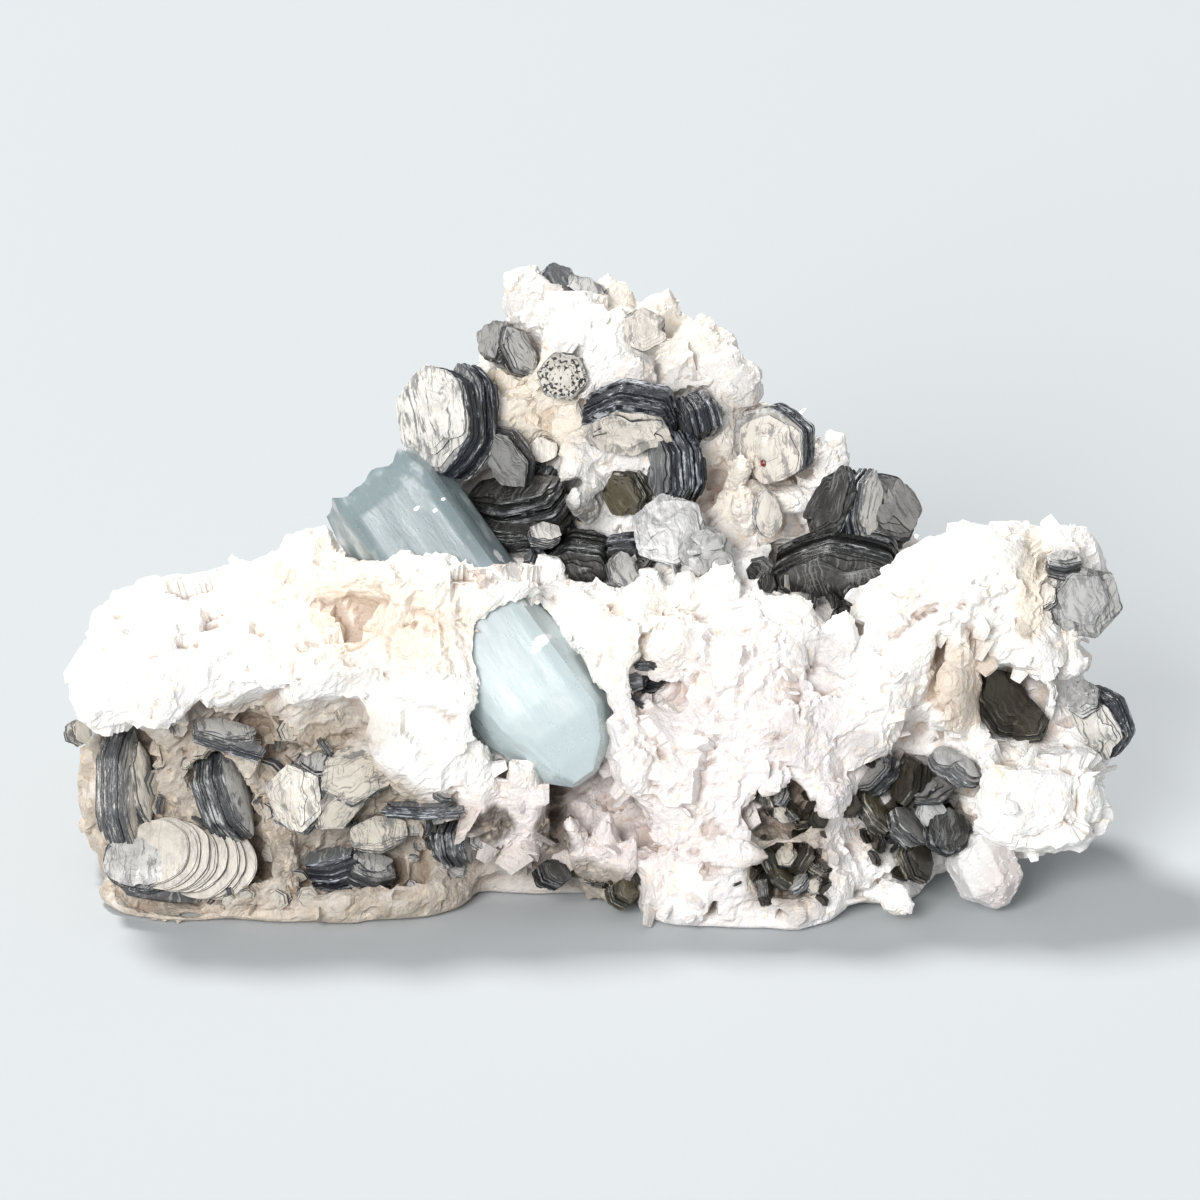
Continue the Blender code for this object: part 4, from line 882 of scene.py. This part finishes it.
def bookTree():
    # a stack of sheets from one cylinder: two rings of points for each, pushed in by the sheet's own amount
    tree, given = newTree("micaBook", {
        "Float": ("Wide", "Long", "Thick", "Roundness", "Ragged", "Step", "Terrace", "Wave", "Bow"),
        "Int": ("Sheets", "Seed"), "Vector": ("Place", "Spin")})
    rings = given["Sheets"] * 2.0 - 1.0
    stack = fromNode(tree, "GeometryNodeMeshCylinder", {
        "Vertices": micaSheets["rimPoints"], "Fill Segments": micaSheets["capRings"], "Radius": 1.0,
        "Depth": 1.0, "Side Segments": rings}, fill_type="TRIANGLE_FAN")

    position = positionIn(tree)
    x, y, z = split(position)
    ring = calc("ROUND", (z + 0.5) * rings)
    sheet = calc("FLOOR", ring / 2.0)
    upper = ring - sheet * 2.0
    reach = calc("SQRT", x * x + y * y)
    own = given["Seed"] * 9.7        # each stack has its own part of the noise
    away = calc("MAXIMUM", reach, 0.001)
    dx, dy = x / away, y / away

    # outline: a hexagon with corners up and down, rounded towards an ellipse
    sixth = math.pi / 3
    turned = calc("ARCTAN2", y, x) + (math.pi + sixth / 2)
    within = calc("FLOORED_MODULO", turned, sixth) - sixth / 2
    hexagon = math.cos(sixth / 2) / calc("COSINE", within)
    outline = fromNode(tree, "ShaderNodeMix", {
        0: given["Roundness"], 2: hexagon, 3: micaSheets["ellipse"]}, data_type="FLOAT")

    # each sheet is chipped in its own way, and the outer ones are broken back in steps
    chips = noiseAt(vectorOf(dx * 5.0, dy * 5.0, sheet * 0.7 + own), 1.0, 4.0, 0.65) * given["Ragged"]
    inset = calc("POWER", chance(0.0, 1.0, given["Seed"], {"ID": sheet}), 3.0) * given["Step"]
    fromEnd = calc("MINIMUM", sheet, given["Sheets"] - 1.0 - sheet)
    ending = calc("MAXIMUM", 3.0 - fromEnd, 0.0)
    broken = noiseAt(vectorOf(dx * 0.6, dy * 0.6, sheet * 0.25 + own), 1.0)
    lost = chips + inset + ending * given["Terrace"] * ramp(broken, 0.42, 0.62, 0.1, 2.2)
    half = (given["Wide"] + given["Long"]) / 4.0
    share = outline * calc("MAXIMUM", 1.0 - lost / half, 0.3)

    level = (sheet + (0.05 + upper * 0.9)) / given["Sheets"] - 0.5
    uneven = noiseAt(vectorOf(level * 9.0, own, 0.0), 1.0, 1.0) - 0.5
    level += uneven * (0.25 - level * level) * 0.55
    bowed = (0.5 - reach * reach) * given["Bow"]
    wavy = (noiseAt(vectorOf(x, y, level * 0.8 + own), 0.7) - 0.5) * given["Wave"]
    formed = vectorOf(x * share * (given["Wide"] / math.sqrt(3)), y * share * (given["Long"] / 2.0),
                      level * given["Thick"] + (bowed + wavy))

    # what the finish needs: the place in the book in mm, how near the rim, the sheet's tone, and which side
    stack = store(stack, "rimShare", reach)
    stack = store(stack, "sheetTone", chance(0.0, 1.0, given["Seed"] + 77.0, {"ID": sheet}))
    stack = store(stack, "outerSheet", calc("LESS_THAN", fromEnd, 2.5))
    stack = moved(stack, {"Position": formed})
    outer = fromNode(tree, "GeometryNodeInputNamedAttribute", {"Name": "outerSheet"}, data_type="FLOAT")
    stack = store(stack, "sheetPlace", position + vectorOf(own, own, 0.0))
    stack = store(stack, "flatSide", facesUp(tree) * outer, "FACE")
    finishTree(transformed(stack, given["Place"], given["Spin"], (mm, mm, mm)), given, given["Geometry"])
    return tree


def bookTurn(facing, turn):
    # a book's flat side looks along its facing, and its long way stands as near to the face's up as it can
    normal = faceDirection(*facing)
    side = faceDirection(0, 1, 0).cross(normal).normalized()
    along = normal.cross(side)
    return Matrix((side, along, normal)).transposed() @ Matrix.Rotation(math.radians(turn), 3, "Z")


def makeMica(finishes):
    tree = bookTree()
    seed = 0
    for name, stacks in micaBooks.items():
        book = newObject("book_" + name, bpy.data.meshes.new("mica_" + name))
        for look, centre, facing, turn, (wide, long, thick), roundness, bow in stacks:
            seed += 1
            small = min(1.0, min(wide, long) / 11, thick / 3)
            useTree(book, tree, {
                "Place": facePoint(*centre), "Spin": bookTurn(facing, turn).to_euler(),
                "Wide": float(wide), "Long": float(long), "Thick": float(thick),
                "Sheets": max(3, round(thick * micaSheets["perMillimetre"])), "Roundness": roundness,
                "Ragged": micaSheets["ragged"] * small, "Step": micaSheets["step"] * small,
                "Terrace": micaSheets["terrace"] * small * small, "Wave": micaSheets["wave"] * small,
                "Bow": bow, "Seed": seed, "Finish": finishes[look]})
        plainMesh(book).shade_smooth()
        book.data.set_sharp_from_angle(angle=math.radians(micaSheets["sharp"]))
        place(book, "mica", "mica_" + name)


def makeMicaFinish(name, look):
    material, tree = newFinish("mica" + name.title())
    flatLook, shade, edge, streak, ringShare, grainShare, flakeShare, dotShare = look
    spot = attribute(tree, "sheetPlace", "Vector")
    flat, rim, tone = [attribute(tree, kept) for kept in ("flatSide", "rimShare", "sheetTone")]

    # edges: light and dark sheets, with fine bright streaks and flecks that run along them
    fine = noiseAt(spot * (0.42, 0.42, 5.0), 1.0, 4.0, 0.8)
    patches = noiseAt(spot * (0.35, 0.35, 0.9), 1.0, 3.0)
    streaks = ramp(fine + (tone - 0.6) * 0.28, 0.50, 0.62) * ramp(patches, 0.42, 0.60, 0.15, 1.0)
    edgeColour = mixColour(streaks, edge, streak)

    # flats: growth lines that follow the rim, wood-like grain, dark flakes near the rim, and speckles
    rings = calc("FRACT", (rim + (noiseAt(spot, 5.0, 3.0) - 0.5) * 0.3) * 6.0)
    rings = ramp(calc("ABSOLUTE", rings - 0.5), 0.02, 0.09, ringShare, 0.0)
    rings = rings * ramp(noiseAt(spot, 3.0), 0.42, 0.58) * ramp(rim, 0.25, 0.5)
    bent = spot + drift(spot, 5.0, 2.0) * 4.0
    grain = ramp(noiseAt(bent * (1.8, 0.14, 0.3), 1.0, 4.0, 0.75), 0.52, 0.62, 0.0, grainShare)
    patchy = noiseAt(bent * (1.0, 0.3, 0.6), 1.6, 4.0, 0.75)
    flakes = ramp(patchy + rim * 0.14, 0.63, 0.72, 0.0, flakeShare)
    dots = ramp(noiseAt(spot, 0.62) + rim * 0.16, 0.69, 0.72, 0.0, dotShare)
    dark = calc("MAXIMUM", calc("MAXIMUM", rings, grain), calc("MAXIMUM", flakes, dots))
    clouds = ramp(noiseAt(spot, 3.0, 3.0, 0.7), 0.45, 0.7, 0.0, 0.5)
    flatColour = mixColour(clouds, flatLook, tuple(0.6 * c for c in flatLook))
    flatColour = mixColour(dark, flatColour, shade)

    relief = noiseAt(spot * (1.0, 0.45, 2.6), 1.0, 2.0, 0.75) * (1.0 - flat * 0.6)
    paint(tree, {"Base Color": mixColour(flat, edgeColour, flatColour), "Specular IOR Level": 0.7,
                 "Roughness": ramp(fine, 0.3, 0.7, 0.22, 0.5), "Normal": bump(relief, 0.3, 0.7)})
    return material


# a grain of garnet on the face of the round book
garnet = {
    "place": (27.3, 78.7, -7.6),
    "facing": (-0.45, -0.2, 0.87),
    "size": (1.1, 1.5, 0.8),
    "red": (0.26, 0.02, 0.02), "dark": (0.07, 0.008, 0.01),
}


def makeGarnet():
    material, tree = newFinish("garnetFinish")
    uneven = ramp(noiseAt(objectPlace(tree), 0.5), 0.4, 0.6)
    paint(tree, {"Base Color": mixColour(uneven, garnet["red"], garnet["dark"]), "Roughness": 0.25})
    bm = bmesh.new()
    bmesh.ops.create_icosphere(bm, subdivisions=1, radius=0.5)
    turn = bookTurn(garnet["facing"], 0)
    for vert in bm.verts:
        grain = Vector(c * size for c, size in zip(vert.co, garnet["size"]))
        vert.co = facePoint(*garnet["place"]) + turn @ grain * mm
    mesh = newMesh("garnetGrain", bm)
    mesh.materials.append(material)
    place(newObject("garnetGrain", mesh), "mica")


aquamarine = {
    "foot": (-2.1, 26.4, 0.5),
    "head": (-38.6, 77.2, -8.0),
    "width": 22.5,
    "depth": 17.6,
    "rings": 90,                     # along the prism
    "sides": 84,                     # round it
    "rounding": 0.10,                # how soft its long edges are, as a share of a side
    "groove": (0.18, 0.22),          # depth of its growth steps at the sides and in front, mm
    "stepSize": 4.5, "stepDepth": 3.52,         # the broken steps of its head, mm
    "headStart": 0.9,                # how far along these start
    # rings that fill an end, as shares of its size
    "caps": (0.12, 0.3, 0.45, 0.6, 0.72, 0.82, 0.9, 0.96),
    "sharp": 28,                     # degrees between faces from which an edge stays sharp
    # corners of its section as shares of half the width and depth
    "corners": ((1.0, -0.1), (0.7, 0.95), (-0.66, 1.0), (-1.0, 0.0), (-0.5, -1.0), (0.5, -1.0)),
    # the section along it: how far along, share of the width, share of the depth, shift to the side in mm
    "sections": (
        (0.0, 0.25, 0.35, -0.4), (0.05, 0.62, 0.65, 0.5), (0.13, 0.86, 0.9, 1.4), (0.22, 0.97, 1.0, 0.3),
        (0.5, 1.0, 1.0, 0.0), (0.9, 1.0, 0.95, 0.0), (1.0, 0.86, 0.8, -0.6)),
}


def sectionAt(share):
    for low, high in zip(aquamarine["sections"], aquamarine["sections"][1:]):
        if share <= high[0]:
            part = (share - low[0]) / (high[0] - low[0])
            return [a + (b - a) * part for a, b in zip(low, high)]


def outlineAt(turn):
    # a point of the section's outline, with its corners a little rounded; turn goes from 0 to 1
    corners, soft = aquamarine["corners"], aquamarine["rounding"]

    def corner(k):
        return Vector(corners[k % len(corners)])
    along = turn * len(corners)
    side, part = int(along), along % 1.0
    here = corner(side).lerp(corner(side + 1), part)
    if part < soft:
        other = corner(side).lerp(corner(side - 1), soft - part)
        return here.lerp(other, 0.5 * (1 - part / soft))
    if part > 1 - soft:
        other = corner(side + 1).lerp(corner(side + 2), soft - (1 - part))
        return here.lerp(other, 0.5 * (1 - (1 - part) / soft))
    return here


def makeAquamarine(finish):
    foot, head = Vector(aquamarine["foot"]), Vector(aquamarine["head"])
    length = (head - foot).length
    axis = (head - foot).normalized()
    side = axis.cross(Vector((0, 0, 1))).normalized()
    front = side.cross(axis)
    rings, sides = aquamarine["rings"], aquamarine["sides"]
    headStart, stepSize = aquamarine["headStart"], aquamarine["stepSize"]
    bm = bmesh.new()
    layer = bm.verts.layers.float_vector.new("prismPlace")

    def addPoint(share, step, shrink):
        _, width, depth, shift = sectionAt(share)
        corner = outlineAt(step / sides)
        across = corner.x * width * aquamarine["width"] / 2 * shrink + shift
        out = corner.y * depth * aquamarine["depth"] / 2 * shrink
        along = length * share
        # growth steps along its sides, and a broken, scalloped head
        groove = abs(noise.noise(Vector((across * 0.9, out * 0.9, along * 0.05))))
        across -= aquamarine["groove"][0] * groove * corner.x
        out -= aquamarine["groove"][1] * groove * corner.y
        nearHead = max(0.0, share - headStart) / (1 - headStart)
        knobs = noise.voronoi(Vector((across / stepSize, out / stepSize, 3.0)))[0][0]
        along -= nearHead * aquamarine["stepDepth"] * knobs
        vert = bm.verts.new(facePoint(*(foot + side * across + axis * along + front * out)))
        vert[layer] = (across, along, out)
        return vert

    levels = [(0.0, shrink) for shrink in aquamarine["caps"]]
    levels += [(k / (rings - 1), 1.0) for k in range(rings)]
    levels += [(1.0, shrink) for shrink in reversed(aquamarine["caps"])]
    skinRows(bm, [[addPoint(share, step, shrink) for step in range(sides)] for share, shrink in levels])
    mesh = newMesh("aquamarine", bm)
    mesh.shade_smooth()
    mesh.set_sharp_from_angle(angle=math.radians(aquamarine["sharp"]))
    mesh.materials.append(finish)
    place(newObject("aquamarinePrism", mesh), "aquamarine", "aquamarine_crystal")


aquamarineFinish = {
    # the foot's pale aqua is lighter as painted light and the head's grey-blue darker as painted shade
    "foot": (0.71, 0.82, 0.835), "head": (0.27, 0.34, 0.36), "cloud": (0.92, 0.97, 0.975),
    "murk": (0.28, 0.37, 0.40),
    # colour of the painted glints on the prism
    "chip": (0.95, 0.97, 0.97),
    "transmission": 0.32, "ior": 1.577,
    "absorbed": (0.68, 0.87, 0.89), "density": 9.0,
    # painted highlights: white glint patches on the prism where it catches the light, across it, along it,
    # half sizes, in mm
    "chips": ((7.0, 22.0, 2.2, 1.2), (5.6, 21.4, 1.4, 0.7), (8.3, 29.0, 0.5, 0.8), (3.0, 52.3, 0.8, 0.35),
              (5.3, 50.2, 0.5, 0.35), (7.4, 51.0, 0.5, 0.35), (9.4, 38.4, 0.5, 1.6)),
}


def makeAquamarineFinish():
    look = aquamarineFinish
    material, tree = newFinish("aquamarineFinish")
    spot = attribute(tree, "prismPlace", "Vector")
    across, along, _ = split(spot)
    cloud = noiseAt(spot * (1.0, 0.55, 1.0), 5.0, 5.0, 0.65)
    # painted light and shade: paler towards the lit foot, darker towards the shaded head
    colour = mixColour(ramp(along, 22.0, 44.0), look["foot"], look["head"])
    colour = mixColour(ramp(cloud, 0.5, 0.72, 0.0, 0.7), colour, look["cloud"])
    murk = ramp(noiseAt(spot * (1.0, 0.7, 1.0), 7.0, 4.0, 0.6), 0.5, 0.7, 0.0, 0.6)
    colour = mixColour(murk * ramp(along, 34.0, 48.0), colour, look["murk"])
    threads = noiseAt(spot * (2.2, 0.22, 2.2), 1.0, 4.0, 0.7)
    colour = mixColour(ramp(threads, 0.58, 0.70, 0.0, 0.16), colour, look["cloud"])
    # painted highlights: white glints, where the prism also lets no light through
    chips = 0.0
    edge = noiseAt(spot, 0.7, 3.0) * 2.0
    for glintAcross, glintAlong, halfAcross, halfAlong in look["chips"]:
        dx = (across - glintAcross) / halfAcross
        dy = (along - glintAlong) / halfAlong
        chips = calc("MAXIMUM", chips, ramp(dx * dx + dy * dy + edge, 1.5, 1.8, 1.0, 0.0))
    relief = noiseAt(spot * (1.4, 0.3, 1.4), 1.0, 2.0, 0.7)
    paint(tree, {
        "Base Color": mixColour(chips, colour, look["chip"]), "IOR": look["ior"],
        "Transmission Weight": look["transmission"] - chips * look["transmission"],
        "Roughness": ramp(cloud, 0.3, 0.7, 0.24, 0.42), "Normal": bump(relief, 0.12, 0.25)})
    absorbed = fromNode(tree, "ShaderNodeVolumeAbsorption", {
        "Color": look["absorbed"], "Density": look["density"]})
    feed(tree.nodes["Material Output"], {"Volume": absorbed})
    return material


quartzLook = {
    "white": (0.90, 0.88, 0.865),
    "cream": (0.84, 0.76, 0.72),
    "transmission": 0.15,
    "stains": {"red skin": ((67.0, 9.0, -3.0), (4.0, 6.0, 5.0), 0.4, (0.74, 0.62, 0.58), 0.5)},
}


def makeQuartzFinish():
    material, tree = newFinish("quartzFinish")
    grain = bump(noiseAt(objectPlace(tree), 0.9, 4.0, 0.7), 0.3, 0.6)
    paint(tree, {"Base Color": attribute(tree, "stain", "Color"), "Roughness": 0.35, "Normal": grain,
                 "Transmission Weight": quartzLook["transmission"]})
    return material


placeCamera()
setUpStudio()
print("studio ready")
albite = makeAlbiteFinish()
skin = rockTree("rockSkin", albiteFinish)
rock = makeRockPiece("albiteRock", mergedCopy("albite_matrix"), "albite", skin, albite, "albite_matrix")
makeRockPiece("albiteCrystals", crystalMesh(), "albite", skin, albite)
micas = {name: makeMicaFinish(name, look) for name, look in micaLooks.items()}
makeScatters(rock, {"albite": albite, **micas})
print("albite ready")
makeMica(micas)
makeGarnet()
print("mica ready")
makeAquamarine(makeAquamarineFinish())
quartzSkin = rockTree("quartzSkin", quartzLook)
makeRockPiece("quartzCrystal", mergedCopy("quartz_crystal"), "quartz", quartzSkin, makeQuartzFinish(),
              "quartz_crystal")
print("crystals ready")
